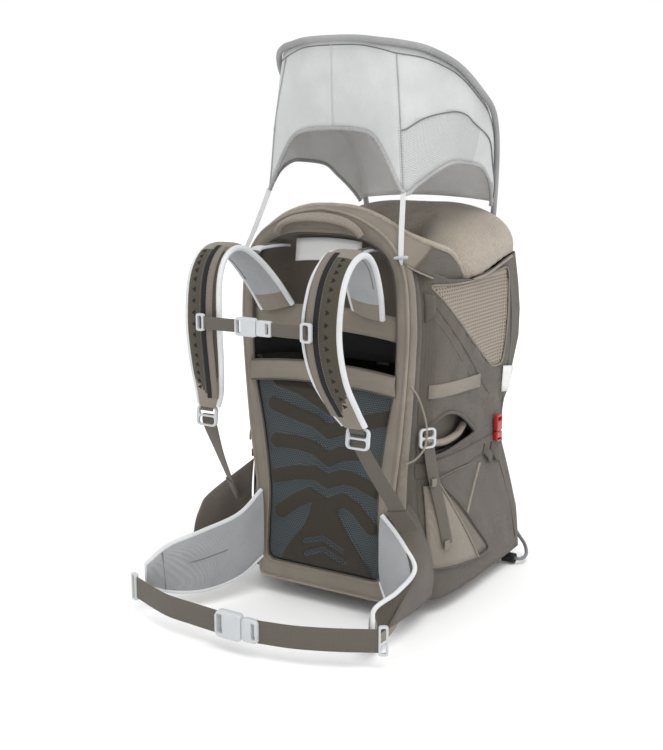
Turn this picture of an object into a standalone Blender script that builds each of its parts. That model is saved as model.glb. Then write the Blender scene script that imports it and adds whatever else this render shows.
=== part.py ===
"""A child carrier backpack with a kickstand, a sunshade, a waist belt and an adjustable harness.

World frame: +Z up, the wearer stands at -Y and faces -Y, +X is the wearer's left. The pack is
laid out from the plane of its back panel (y = 0) and then moved, so that the origin is on the
ground, on the flat underside of the base tray. All lengths are in metres.
"""

import math

import bmesh
import bpy
from mathutils import Matrix, Vector

# Driving dimensions
FRAME_TOP = 0.664           # height of the hoop's centre line at the top of the arch
FRAME_Y = 0.024             # plane of the hoop
FRAME_RADIUS = 0.0065
COVER_THICKNESS = 0.008
BASE_THICKNESS = 0.006
BASE_HALF_WIDTH = 0.125
BASE_FRONT = 0.085
BASE_REAR = 0.330
ORIGIN_Y = (BASE_FRONT + BASE_REAR) / 2
BAG_WALL = 0.004
SEAM_HEIGHT = 0.250         # where the lower bag ends and the cockpit begins
SEAM_GAP = 0.007            # half of the slit that the kickstand lugs pass through
STAND_PIVOT = (0.372, SEAM_HEIGHT)      # y, z of the kickstand's axis
SHADE_PIVOT = (0.372, 0.604)            # y, z of the sunshade's axis
STAND_RADIUS = 0.0035
SHADE_WIRE_RADIUS = 0.0035
WEB_THICKNESS = 0.002
HIP_WEB_WIDTH = 0.038
STERNUM_WEB_WIDTH = 0.020
STRAP_THICKNESS = 0.016
SIDES = {"left": 1.0, "right": -1.0}

# Colours, roughness and metallic value of each material
FINISHES = {
    "frame_metal": ((0.55, 0.56, 0.57), 0.35, 1.0),
    "stand_metal": ((0.32, 0.33, 0.34), 0.40, 1.0),
    "base_plastic": ((0.05, 0.05, 0.05), 0.55, 0.0),
    "taupe_fabric": ((0.20, 0.17, 0.14), 0.85, 0.0),
    "beige_fabric": ((0.36, 0.31, 0.26), 0.90, 0.0),
    "beige_mesh": ((0.40, 0.35, 0.29), 0.90, 0.0),
    "dark_mesh": ((0.06, 0.05, 0.035), 0.90, 0.0),
    "grey_fabric": ((0.40, 0.41, 0.42), 0.85, 0.0),
    "shade_fabric": ((0.66, 0.66, 0.67), 0.80, 0.0),
    "webbing": ((0.14, 0.12, 0.10), 0.80, 0.0),
    "pale_webbing": ((0.70, 0.70, 0.69), 0.80, 0.0),
    "pale_plastic": ((0.62, 0.63, 0.64), 0.40, 0.0),
    "red_plastic": ((0.60, 0.03, 0.03), 0.35, 0.0),
    "black_rubber": ((0.02, 0.02, 0.02), 0.80, 0.0),
}


def clear_scene():
    for item in list(bpy.data.objects):
        bpy.data.objects.remove(item, do_unlink=True)


clear_scene()
PARTS = bpy.data.collections.new("child_carrier")
CUTTERS = bpy.data.collections.new("cutters")
bpy.context.scene.collection.children.link(PARTS)
bpy.context.scene.collection.children.link(CUTTERS)
MATERIALS = {}


def material(name):
    """The Principled material of this finish, made once."""
    if name not in MATERIALS:
        colour, roughness, metallic = FINISHES[name]
        made = bpy.data.materials.new(name)
        made.use_nodes = True
        shader = made.node_tree.nodes["Principled BSDF"]
        shader.inputs["Base Color"].default_value = (*colour, 1.0)
        shader.inputs["Roughness"].default_value = roughness
        shader.inputs["Metallic"].default_value = metallic
        MATERIALS[name] = made
    return MATERIALS[name]


def place(name, data, finish, collection=None):
    """A new object of this data in the collection of parts, or in another one."""
    item = bpy.data.objects.new(name, data)
    (collection or PARTS).objects.link(item)
    if finish:
        data.materials.append(material(finish))
    return item


def cutter(name, data):
    item = place(name, data, None, CUTTERS)
    item.hide_render = True
    item.display_type = "WIRE"
    return item


def curve_points(points, per_span=6, closed=False):
    """Points along a smooth curve through the given points."""
    knots = [Vector(point) for point in points]
    count = len(knots)
    spans = count if closed else count - 1
    found = []
    for span in range(spans):
        if closed:
            a, b, c, d = (knots[(span + step) % count] for step in (-1, 0, 1, 2))
        else:
            b, c = knots[span], knots[span + 1]
            a = knots[span - 1] if span else b * 2 - c
            d = knots[span + 2] if span + 2 < count else c * 2 - b
        for step in range(per_span):
            t = step / per_span
            found.append(0.5 * (b * 2 + (c - a) * t + (a * 2 - b * 5 + c * 4 - d) * t ** 2
                                + (b * 3 - a - c * 3 + d) * t ** 3))
    if not closed:
        found.append(knots[-1])
    return found


def mirrored(points):
    """The points followed by their mirror images, last to first, for a symmetric line."""
    other = [(-x, y, z) for x, y, z in reversed(points) if abs(x) > 1e-9]
    return list(points) + other


def lerp_table(table, at):
    """The row of numbers at this height, from a table of (height, numbers...)."""
    rows = sorted(table)
    if at <= rows[0][0]:
        return rows[0][1:]
    for low, high in zip(rows, rows[1:]):
        if at <= high[0]:
            share = (at - low[0]) / (high[0] - low[0])
            return tuple(a + (b - a) * share for a, b in zip(low[1:], high[1:]))
    return rows[-1][1:]


def tube(name, points, radius, finish, closed=False, sides=2):
    """A round bar along the points."""
    data = bpy.data.curves.new(name, "CURVE")
    data.dimensions = "3D"
    data.bevel_depth = radius
    data.bevel_resolution = sides
    data.use_fill_caps = not closed
    line = data.splines.new("POLY")
    line.points.add(len(points) - 1)
    for knot, point in zip(line.points, points):
        knot.co = (*point, 1.0)
    line.use_cyclic_u = closed
    return place(name, data, finish)


def plate(name, outlines, depth, finish, y=0.0):
    """A flat plate in an XZ plane: the first outline, less the holes that follow."""
    data = bpy.data.curves.new(name, "CURVE")
    data.dimensions = "2D"
    data.fill_mode = "BOTH"
    data.extrude = depth / 2
    for outline in outlines:
        line = data.splines.new("POLY")
        line.points.add(len(outline) - 1)
        for knot, (x, z) in zip(line.points, outline):
            knot.co = (x, z, 0.0, 1.0)
        line.use_cyclic_u = True
    item = place(name, data, finish)
    item.location = (0.0, y, 0.0)
    item.rotation_euler = (math.pi / 2, 0.0, 0.0)
    return item


def loft(name, rings, finish):
    """A solid through the rings of points, with its ends filled."""
    work = bmesh.new()
    rows = [[work.verts.new(point) for point in ring] for ring in rings]
    for low, high in zip(rows, rows[1:]):
        for index in range(len(low)):
            after = (index + 1) % len(low)
            work.faces.new((low[index], low[after], high[after], high[index]))
    work.faces.new(rows[0])
    work.faces.new(rows[-1])
    bmesh.ops.recalc_face_normals(work, faces=work.faces)
    data = bpy.data.meshes.new(name)
    work.to_mesh(data)
    work.free()
    data.shade_smooth()
    data.set_sharp_from_angle(angle=math.radians(40))
    return place(name, data, finish)


def flat_ring(half_width, half_depth):
    """Six points of a flat strap's section, as (across, out) pairs."""
    edge = half_width * 0.94
    return [(-half_width, 0.0), (-edge, half_depth), (edge, half_depth),
            (half_width, 0.0), (edge, -half_depth), (-edge, -half_depth)]


def padded_ring(half_width, half_depth):
    """Ten points of a padded strap's section, as (across, out) pairs."""
    ring = []
    for step in range(10):
        angle = math.tau * (step + 0.5) / 10
        across = math.cos(angle)
        out = math.sin(angle)
        ring.append((half_width * math.copysign(abs(across) ** 0.6, across),
                     half_depth * math.copysign(abs(out) ** 0.6, out)))
    return ring


def strap(name, stations, thickness, finish, section=flat_ring, per_span=4):
    """A strap through stations of (centre, across direction, width)."""
    centres = curve_points([station[0] for station in stations], per_span)
    spans = [Vector(station[1]).normalized() for station in stations]
    widths = [(station[2], 0.0, 0.0) for station in stations]
    across = curve_points(spans, per_span)
    width = curve_points(widths, per_span)
    rings = []
    for index, centre in enumerate(centres):
        before = centres[max(index - 1, 0)]
        after = centres[min(index + 1, len(centres) - 1)]
        along = (after - before).normalized()
        side = across[index].normalized()
        out = along.cross(side).normalized()
        ring = section(width[index].x / 2, thickness / 2)
        rings.append([centre + side * a + out * b for a, b in ring])
    return loft(name, rings, finish)


def block(name, size, centre, finish, bevel=0.0015, turn=(0.0, 0.0, 0.0)):
    """A box with rounded edges."""
    work = bmesh.new()
    bmesh.ops.create_cube(work, size=1.0)
    bmesh.ops.scale(work, vec=size, verts=work.verts)
    data = bpy.data.meshes.new(name)
    work.to_mesh(data)
    work.free()
    item = place(name, data, finish)
    item.location = centre
    item.rotation_euler = turn
    if bevel:
        rounding = item.modifiers.new("rounding", "BEVEL")
        rounding.width = bevel
        rounding.segments = 2
    return item


def drum(name, radius, length, centre, finish=None, turn=(0.0, 0.0, 0.0), sides=24):
    """A cylinder, a cutter when it has no finish."""
    work = bmesh.new()
    bmesh.ops.create_cone(work, cap_ends=True, segments=sides, radius1=radius, radius2=radius,
                          depth=length)
    data = bpy.data.meshes.new(name)
    work.to_mesh(data)
    work.free()
    data.shade_smooth()
    data.set_sharp_from_angle(angle=math.radians(40))
    item = place(name, data, finish) if finish else cutter(name, data)
    item.location = centre
    item.rotation_euler = turn
    return item


def cut(item, tool, operation="DIFFERENCE"):
    step = item.modifiers.new(tool.name, "BOOLEAN")
    step.operation = operation
    step.object = tool


def as_cutter(item):
    """The part made into a cutter."""
    PARTS.objects.unlink(item)
    CUTTERS.objects.link(item)
    item.hide_render = True
    item.display_type = "WIRE"
    return item


def box_cutter(name, size, centre, turn=(0.0, 0.0, 0.0)):
    work = bmesh.new()
    bmesh.ops.create_cube(work, size=1.0)
    bmesh.ops.scale(work, vec=size, verts=work.verts)
    data = bpy.data.meshes.new(name)
    work.to_mesh(data)
    work.free()
    item = cutter(name, data)
    item.location = centre
    item.rotation_euler = turn
    return item


def sheet(name, rows, thickness, finish, offset=-1.0, wrap=False):
    """A shell of even thickness on a grid of points, whose rows are closed loops if it wraps."""
    work = bmesh.new()
    grid = [[work.verts.new(point) for point in row] for row in rows]
    for low, high in zip(grid, grid[1:]):
        for index in range(len(low) - (0 if wrap else 1)):
            after = (index + 1) % len(low)
            work.faces.new((low[index], low[after], high[after], high[index]))
    bmesh.ops.remove_doubles(work, verts=work.verts, dist=1e-6)
    bmesh.ops.recalc_face_normals(work, faces=work.faces)
    data = bpy.data.meshes.new(name)
    work.to_mesh(data)
    work.free()
    data.shade_smooth()
    item = place(name, data, finish)
    shell = item.modifiers.new("thickness", "SOLIDIFY")
    shell.thickness = thickness
    shell.offset = offset
    shell.use_even_offset = True
    return item


def hang(name, point, children, carrier=None):
    """An empty on a joint's axis, which carries the pieces that the joint moves."""
    pivot = bpy.data.objects.new(name, None)
    PARTS.objects.link(pivot)
    pivot.location = point
    if carrier:
        pivot.parent = carrier
        pivot.matrix_parent_inverse = Matrix.Translation(carrier.location).inverted()
    for child in children:
        item = bpy.data.objects[child]
        item.parent = pivot
        item.matrix_parent_inverse = Matrix.Translation(point).inverted()
    return pivot


# Frame

HOOP_HALF = [(0.0, FRAME_Y, 0.052), (0.090, FRAME_Y, 0.052), (0.113, FRAME_Y, 0.066),
             (0.117, FRAME_Y, 0.120), (0.121, FRAME_Y, 0.200), (0.133, FRAME_Y, 0.310),
             (0.143, FRAME_Y, 0.420), (0.147, FRAME_Y, 0.490), (0.143, FRAME_Y, 0.560),
             (0.122, FRAME_Y, 0.616), (0.082, FRAME_Y, 0.648), (0.040, FRAME_Y, 0.661),
             (0.0, FRAME_Y, FRAME_TOP)]
# Half width of the fabric front at each height
FRONT_HALF = [(0.032, 0.122), (0.045, 0.130), (0.120, 0.129), (0.200, 0.134), (0.310, 0.147),
              (0.420, 0.156), (0.490, 0.159), (0.560, 0.155), (0.600, 0.144), (0.632, 0.122),
              (0.655, 0.088), (0.670, 0.050), (0.678, 0.0)]
PANEL_HALF = [(0.064, 0.108), (0.072, 0.115), (0.130, 0.110), (0.200, 0.108), (0.290, 0.118),
              (0.388, 0.136)]
RECESS_HALF = [(0.440, 0.136), (0.500, 0.140), (0.560, 0.137), (0.600, 0.127), (0.622, 0.106),
               (0.634, 0.070), (0.638, 0.0)]


def outline(half, grow=0.0):
    """A closed symmetric outline in X and Z from rows of (height, half width)."""
    right = [(x + grow, z) for z, x in half if x > 0]
    top = [(0.0, half[-1][0] + grow)] if half[-1][1] == 0 else []
    left = [(-x, z) for x, z in reversed(right)]
    return right + top + left


def build_frame():
    loop = mirrored(HOOP_HALF)
    tube("frame_hoop", curve_points(loop, 2, closed=True), FRAME_RADIUS, "frame_metal",
         closed=True)
    arm = [(0.127, 0.0325, 0.264), (0.132, 0.060, 0.264), (0.146, 0.110, 0.264),
           (0.154, 0.200, 0.264), (0.150, 0.275, 0.264), (0.110, 0.312, 0.264),
           (0.0, 0.320, 0.264)]
    tube("seat_frame", curve_points(mirrored(arm), 2), 0.006, "frame_metal")


def build_base():
    """A moulded tray with two arms that hold the bottom of the hoop."""
    tray = block("base_tray", (2 * BASE_HALF_WIDTH, BASE_REAR - BASE_FRONT, BASE_THICKNESS),
                 (0.0, ORIGIN_Y, BASE_THICKNESS / 2), "base_plastic", 0.0)
    for side, sign in SIDES.items():
        x = sign * 0.075
        stations = [((x, BASE_FRONT + 0.015, 0.0031), (1, 0, 0), 0.040),
                    ((x, BASE_FRONT - 0.001, 0.0042), (1, 0, 0), 0.040),
                    ((x, 0.060, 0.0125), (1, 0, 0), 0.040),
                    ((x, 0.044, 0.0195), (1, 0, 0), 0.040),
                    ((x, FRAME_Y + 0.007, 0.0435), (1, 0, 0), 0.040)]
        arm = strap(f"arm_{side}", stations, 0.005, "base_plastic", per_span=1)
        cut(tray, as_cutter(arm), "UNION")


def build_front():
    plate("front_cover", [outline(FRONT_HALF), outline(PANEL_HALF), outline(RECESS_HALF)],
          COVER_THICKNESS, "beige_fabric", y=0.006)
    gap = 0.0015
    inner = [(z, x - gap) for z, x in PANEL_HALF]
    inner[0] = (inner[0][0] + gap, inner[0][1])
    inner[-1] = (inner[-1][0] - gap, inner[-1][1])
    plate("back_panel", [outline(inner)], 0.010, "dark_mesh", y=0.007)
    band = [((-0.140, -0.0035, 0.400), (0, 0, 1), 0.034), ((0.0, -0.0045, 0.402), (0, 0, 1), 0.030),
            ((0.140, -0.0035, 0.400), (0, 0, 1), 0.034)]
    strap("cross_band", band, 0.003, "beige_fabric")


def build_recess():
    """The lining behind the harness: a shallow bowl with a straight lower edge."""
    rows = []
    for height, half in [(0.436, 0.128), (0.500, 0.130), (0.550, 0.120), (0.585, 0.098),
                         (0.606, 0.068)]:
        row = []
        for step in range(9):
            share = step / 4 - 1
            row.append((half * share, 0.062 - 0.026 * abs(share) ** 3, height))
        rows.append(row)
    sheet("recess_lining", rows, 0.003, "beige_fabric")


# Height of the collar's rim and of its lower edge, and its path seen from above
COLLAR_PLAN = [(0.0, 0.0360, 0.681, 0.640), (0.045, 0.0370, 0.678, 0.636),
               (0.090, 0.0400, 0.662, 0.624), (0.128, 0.047, 0.638, 0.596),
               (0.153, 0.068, 0.622, 0.568), (0.162, 0.105, 0.618, 0.558),
               (0.163, 0.145, 0.606, 0.553), (0.161, 0.178, 0.582, 0.551)]


def build_collar():
    half = [[(x, y, low + (top - low) * share / 3) for share in range(4)]
            for x, y, top, low in COLLAR_PLAN]
    other = [[(-x, y, z) for x, y, z in row] for row in reversed(half[1:])]
    sheet("front_collar", other + half, 0.004, "taupe_fabric", offset=0.0)


def build_haul_handle():
    half = [((0.0, -0.0145, 0.666), (0, 1, 0.5), 0.024),
            ((0.045, -0.0135, 0.661), (0, 1, 0.5), 0.022),
            ((0.070, -0.0120, 0.650), (0, 1, 0.3), 0.018),
            ((0.080, -0.0090, 0.637), (0, 1, 0.2), 0.016)]
    other = [((-x, y, z), across, width) for (x, y, z), across, width in reversed(half[1:])]
    grip = other + half
    strap("haul_handle", grip, 0.010, "beige_fabric", padded_ring, per_span=3)


# Bags: half width at the front, half width at the side, depth of the rear wall
LOWER_PLAN = [(0.028, 0.168, 0.198, 0.406), (0.110, 0.166, 0.193, 0.400), (0.180, 0.160, 0.186, 0.376),
              (0.250, 0.152, 0.180, 0.350)]
UPPER_PLAN = [(0.250, 0.152, 0.180, 0.350), (0.300, 0.153, 0.178, 0.354), (0.360, 0.155, 0.179, 0.388),
              (0.430, 0.158, 0.183, 0.412), (0.480, 0.160, 0.183, 0.414), (0.530, 0.158, 0.181, 0.408),
              (0.580, 0.150, 0.178, 0.398), (0.640, 0.142, 0.174, 0.390)]


def bag_path(plan, height, front=0.044):
    """The bag's outer wall seen from above at this height, from the left front round to the rear."""
    near, wide, deep = lerp_table(plan, height)
    half = [(near, front, 0.0), ((near + wide) / 2 + 0.006, front + 0.035, 0.0),
            (wide, front + 0.100, 0.0), (wide, deep - 0.130, 0.0), (wide - 0.001, deep - 0.045, 0.0),
            (wide - 0.008, deep - 0.008, 0.0), (wide - 0.050, deep - 0.0005, 0.0), (0.0, deep, 0.0)]
    path = curve_points(mirrored(half), 2)
    return [(point.x, point.y) for point in path]


def build_lower_bag():
    """A tapered bag, open at the top, whose floor lies on the tray and curves up to its edge."""
    floor = BASE_THICKNESS + 0.002
    rows = [[Vector((x, y, height)) for x, y in bag_path(LOWER_PLAN, height)]
            for height in (0.028, 0.050, 0.110, 0.180, SEAM_HEIGHT - SEAM_GAP)]
    inner = []
    for share, height in ((0.04, floor), (0.76, floor), (0.87, 0.0225)):
        middle = Vector((0.0, 0.200, height))
        inner.append([Vector((middle.x + (edge.x - middle.x) * share,
                              middle.y + (edge.y - middle.y) * share, height)) for edge in rows[0]])
    sheet("lower_bag", inner + rows, BAG_WALL, "taupe_fabric", wrap=True)


def top_edge(y):
    """Height of the cockpit wall's upper edge at this place on its path."""
    table = [(0.044, 0.592), (0.110, 0.566), (0.200, 0.560), (0.300, 0.572), (0.350, 0.584),
             (0.400, 0.590)]
    return lerp_table(table, y)[0]


def build_cockpit():
    count = len(bag_path(UPPER_PLAN, 0.3))
    rows = []
    for level in range(8):
        share = level / 7
        row = []
        for index in range(count):
            bottom = SEAM_HEIGHT + SEAM_GAP
            x, y = bag_path(UPPER_PLAN, 0.5)[index]
            height = bottom + (top_edge(y) - bottom) * share
            x, y = bag_path(UPPER_PLAN, height)[index]
            row.append((x, y, height))
        rows.append(row)
    shell = sheet("cockpit_shell", rows, BAG_WALL, "taupe_fabric")
    for side, sign in SIDES.items():
        hole = drum(f"leg_hole_{side}", 0.046, 0.120, (sign * 0.18, 0.165, 0.296),
                    turn=(0.0, math.pi / 2, 0.0))
        hole.scale = (0.78, 1.75, 1.0)
        hole.rotation_euler = (-0.55, math.pi / 2, 0.0)
        cut(shell, hole)
        window = window_cutter(f"window_hole_{side}", sign)
        cut(shell, window)


# The triangular mesh window: corners as (y, z)
WINDOW = [(0.080, 0.548), (0.330, 0.558), (0.345, 0.553), (0.335, 0.400), (0.322, 0.392)]


def window_cutter(name, sign):
    rings = [[(sign * x, y, z) for y, z in WINDOW] for x in (0.120, 0.230)]
    return as_cutter(loft(name, rings, "beige_mesh"))


def wall_x(plan, y, z):
    """How far out the bag's wall stands at this place on its left side."""
    path = [point for point in bag_path(plan, z) if point[0] > 0]
    for (x0, y0), (x1, y1) in zip(path, path[1:]):
        if y0 <= y <= y1:
            return x0 + (x1 - x0) * (y - y0) / (y1 - y0)
    return path[0][0]


def on_wall(plan, y, z, lift, sign):
    return (sign * (wall_x(plan, y, z) + lift), y, z)


def build_windows():
    low = ((0.3235, 0.3955), (0.333, 0.4015))
    high = ((0.0855, 0.5455), (0.3405, 0.5510))
    for side, sign in SIDES.items():
        rows = []
        for level in range(5):
            share = level / 4
            start = [a + (b - a) * share for a, b in zip(low[0], high[0])]
            end = [a + (b - a) * share for a, b in zip(low[1], high[1])]
            row = []
            for step in range(7):
                y = start[0] + (end[0] - start[0]) * step / 6
                z = start[1] + (end[1] - start[1]) * step / 6
                row.append(on_wall(UPPER_PLAN, y, z, -0.0015, sign))
            rows.append(row)
        sheet(f"side_mesh_{side}", rows, 0.0015, "beige_mesh", offset=0.0)


# The stirrup flap's corners as (y, z), upper edge then lower edge
FLAP_TOP = ((0.062, 0.212), (0.092, 0.226))
FLAP_BOTTOM = ((0.086, 0.068), (0.205, 0.060))
SIDE_WEB = [(0.0570, 0.290), (0.0610, 0.255), (0.0690, 0.215), (0.0820, 0.165), (0.0930, 0.120)]


def build_side(side, sign):
    """The stirrup flap, its strap and ladder lock, and the red compression buckle."""
    rows = []
    for level in range(4):
        share = level / 3
        row = []
        for step in range(4):
            part = step / 3
            y0, y1 = (FLAP_BOTTOM[i][0] + (FLAP_TOP[i][0] - FLAP_BOTTOM[i][0]) * share for i in (0, 1))
            z0, z1 = (FLAP_BOTTOM[i][1] + (FLAP_TOP[i][1] - FLAP_BOTTOM[i][1]) * share for i in (0, 1))
            row.append(on_wall(LOWER_PLAN, y0 + (y1 - y0) * part, z0 + (z1 - z0) * part, 0.0035, sign))
        rows.append(row)
    sheet(f"stirrup_flap_{side}", rows, 0.002, "taupe_fabric", offset=0.0)
    stations = []
    for y, z in SIDE_WEB:
        plan = LOWER_PLAN if z < SEAM_HEIGHT else UPPER_PLAN
        stations.append((on_wall(plan, y, z, 0.010, sign), (sign * 0.35, 1.0, 0.0), 0.022))
    strap(f"side_web_{side}", stations, WEB_THICKNESS, "webbing")
    lock = block(f"side_lock_{side}", (0.006, 0.026, 0.028), (sign * 0.1685, 0.052, 0.309),
                 "pale_plastic", 0.001, (0.0, 0.0, -sign * 0.5))
    for step, offset in enumerate((-0.006, 0.005)):
        slot = box_cutter(f"side_lock_slot_{side}_{step}", (0.012, 0.020, 0.005),
                          (sign * 0.1685, 0.052, 0.309 + offset), (0.0, 0.0, -sign * 0.5))
        cut(lock, slot)
    x = wall_x(UPPER_PLAN, 0.300, 0.285) + 0.008
    socket = block(f"side_socket_{side}", (0.009, 0.022, 0.016), (sign * x, 0.300, 0.2615), "red_plastic",
                   0.0015)
    mouth = box_cutter(f"side_mouth_{side}", (0.004, 0.015, 0.012), (sign * x, 0.300, 0.2665))
    cut(socket, mouth)
    clip = block(f"side_clip_{side}", (0.009, 0.022, 0.030), (sign * x, 0.300, 0.2855),
                 "red_plastic", 0.002)
    tongue = box_cutter(f"side_tongue_{side}", (0.0025, 0.013, 0.014), (sign * x, 0.300, 0.2685))
    cut(clip, tongue, "UNION")


# The headrest seen from the front, and the cushion round the cockpit's rim: the outer foot, the
# crest and the inner foot of its section, from the front of its left wing to the middle of its rear
HEADREST_HALF = [(0.400, 0.120), (0.440, 0.145), (0.500, 0.158), (0.550, 0.160), (0.572, 0.150)]
CUSHION_HALF = [((0.168, 0.190, 0.560), (0.105, 0.190, 0.612), (0.082, 0.195, 0.560)),
                ((0.172, 0.235, 0.565), (0.092, 0.238, 0.636), (0.062, 0.238, 0.562)),
                ((0.172, 0.285, 0.576), (0.080, 0.288, 0.652), (0.045, 0.262, 0.562)),
                ((0.168, 0.328, 0.586), (0.070, 0.322, 0.661), (0.032, 0.268, 0.562)),
                ((0.148, 0.350, 0.590), (0.060, 0.342, 0.664), (0.022, 0.268, 0.562)),
                ((0.108, 0.362, 0.592), (0.045, 0.352, 0.666), (0.012, 0.266, 0.562)),
                ((0.0, 0.366, 0.592), (0.0, 0.356, 0.667), (0.0, 0.266, 0.562))]


def dome(foot, crest, share):
    """A point on the quarter ellipse from the cushion's foot up to its crest."""
    turn = share * math.pi / 2
    point = foot.lerp(crest, 1 - math.cos(turn))
    point.z = foot.z + (crest.z - foot.z) * math.sin(turn)
    return point


def build_cushion():
    """The U-shaped cushion on the rim of the cockpit."""
    half = []
    for station in CUSHION_HALF:
        outer, crest, inner = (Vector(point) for point in station)
        ring = [dome(outer, crest, step / 3) for step in range(4)]
        ring += [dome(inner, crest, 1 - step / 3) for step in range(1, 4)]
        half.append(ring + [inner.lerp(outer, 0.5) - Vector((0.0, 0.0, 0.004))])
    other = [[Vector((-point.x, point.y, point.z)) for point in ring] for ring in reversed(half[:-1])]
    return as_cutter(loft("cushion", half + other, "beige_fabric"))


def build_cockpit_inside():
    rings = []
    for y, shrink in ((0.286, 0.055), (0.294, 0.025), (0.310, 0.006), (0.334, 0.0), (0.350, 0.010)):
        rings.append([(x, y, z) for x, z in outline(HEADREST_HALF, -shrink)])
    cut(loft("headrest_pad", rings, "beige_fabric"), build_cushion(), "UNION")
    saddle = [((0.0, 0.085, 0.300), (1, 0, 0), 0.070), ((0.0, 0.130, 0.290), (1, 0, 0), 0.080),
              ((0.0, 0.190, 0.288), (1, 0, 0), 0.110), ((0.0, 0.240, 0.291), (1, 0, 0), 0.170),
              ((0.0, 0.290, 0.300), (1, 0, 0), 0.200)]
    strap("child_seat", saddle, 0.026, "beige_fabric", padded_ring)
    vest = [[(-0.055, 0.370), (-0.055, 0.530), (-0.025, 0.530), (-0.025, 0.420), (0.025, 0.420),
             (0.025, 0.530), (0.055, 0.530), (0.055, 0.370)]]
    plate("child_harness", vest, 0.004, "grey_fabric", y=0.278)


def build_kickstand():
    y, z = STAND_PIVOT
    half = [(0.110, y, z), (0.131, y, z), (0.1385, y + 0.001, z - 0.004), (0.1425, y + 0.003, z - 0.020),
            (0.1480, 0.389, 0.190), (0.1550, 0.410, 0.145), (0.1620, 0.416, 0.100),
            (0.1700, 0.418, 0.062), (0.1830, 0.416, 0.041), (0.1990, 0.409, 0.0280),
            (0.2090, 0.398, 0.0185), (0.2135, 0.386, 0.0130), (0.2140, 0.374, 0.0115),
            (0.2115, 0.3645, 0.0115), (0.2060, 0.361, 0.0115), (0.1900, 0.361, 0.0115),
            (0.1740, 0.361, 0.0115), (0.1570, 0.372, 0.0115), (0.1200, 0.384, 0.0115)]
    tube("kickstand_hoop", curve_points(mirrored(half), 2), STAND_RADIUS, "stand_metal")
    turn = (0.0, math.pi / 2, 0.0)
    for side, sign in SIDES.items():
        centre = (sign * 0.190, 0.361, 0.0115)
        foot = drum(f"kickstand_foot_{side}", 0.0095, 0.024, centre, "black_rubber", turn)
        cut(foot, drum(f"foot_hole_{side}", STAND_RADIUS + 0.0012, 0.060, centre, turn=turn))
        lug = block(f"kickstand_lug_{side}", (0.012, 0.074, 0.008), (sign * 0.121, y - 0.037, z),
                    "base_plastic", 0.0)
        cut(lug, drum(f"lug_boss_{side}", 0.009, 0.012, (sign * 0.121, y, z), turn=turn), "UNION")
        cut(lug, drum(f"lug_hole_{side}", STAND_RADIUS + 0.001, 0.030, (sign * 0.121, y, z), turn=turn))


# The sunshade's hoop from the foot of its left leg to the middle of its front, and the edge of the
# fabric below each of its points
SHADE_HALF = [(0.128, 0.372, 0.604), (0.131, 0.3755, 0.640), (0.138, 0.368, 0.697), (0.149, 0.346, 0.760),
              (0.162, 0.311, 0.806), (0.181, 0.250, 0.838), (0.186, 0.191, 0.866), (0.176, 0.155, 0.893),
              (0.163, 0.125, 0.911), (0.138, 0.087, 0.928), (0.105, 0.054, 0.936), (0.082, 0.042, 0.939),
              (0.055, 0.031, 0.9425), (0.028, 0.026, 0.9438), (0.0, 0.024, 0.944)]
SHADE_HEM = [(0.128, 0.370, 0.630), (0.1315, 0.360, 0.655), (0.1385, 0.350, 0.676), (0.147, 0.327, 0.700),
             (0.154, 0.300, 0.720), (0.157, 0.262, 0.741), (0.158, 0.189, 0.749), (0.1555, 0.150, 0.7485),
             (0.150, 0.109, 0.737), (0.139, 0.068, 0.717), (0.128, 0.041, 0.7045), (0.100, 0.036, 0.757),
             (0.074, 0.036, 0.793), (0.038, 0.0355, 0.803), (0.0, 0.0345, 0.8045)]


def shade_row(high, low):
    """One band of the canopy, over the roof from the left edge of the fabric to the right edge."""
    middle = Vector((0.0, ORIGIN_Y, high.z - 0.030))
    crease = high + (middle - high).normalized() * 0.0065
    side = [low.lerp(crease, step / 4) for step in range(5)]
    roof = [Vector((crease.x * share, crease.y, crease.z + 0.008 * (1 - share * share)
                    * min(1.0, crease.x / 0.060))) for share in (0.6, 0.2, -0.2, -0.6)]
    other = [Vector((-point.x, point.y, point.z)) for point in reversed(side)]
    return side + roof + other


def build_sunshade():
    tube("shade_hoop", curve_points(mirrored(SHADE_HALF), 2), SHADE_WIRE_RADIUS, "pale_plastic")
    upper = curve_points(SHADE_HALF, 2)
    lower = curve_points(SHADE_HEM, 2)
    rows = [shade_row(high, low) for high, low in zip(upper[3:], lower[3:])]
    sheet("shade_canopy", rows, 0.002, "shade_fabric", offset=0.0)
    for side, sign in SIDES.items():
        line = [((sign * 0.1290, 0.0385, 0.6985), (1, 0.5, 0), 0.008),
                ((sign * 0.138, 0.019, 0.652), (1, 0.5, 0), 0.008),
                ((sign * 0.148, -0.002, 0.6115), (1, 0.5, 0), 0.008)]
        strap(f"shade_strap_{side}", line, 0.0015, "pale_webbing", per_span=2)
        drum(f"shade_toggle_{side}", 0.0025, 0.026, (sign * 0.149, -0.004, 0.607), "pale_plastic",
             (0.0, math.pi / 2, -sign * 0.15), 12)


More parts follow.
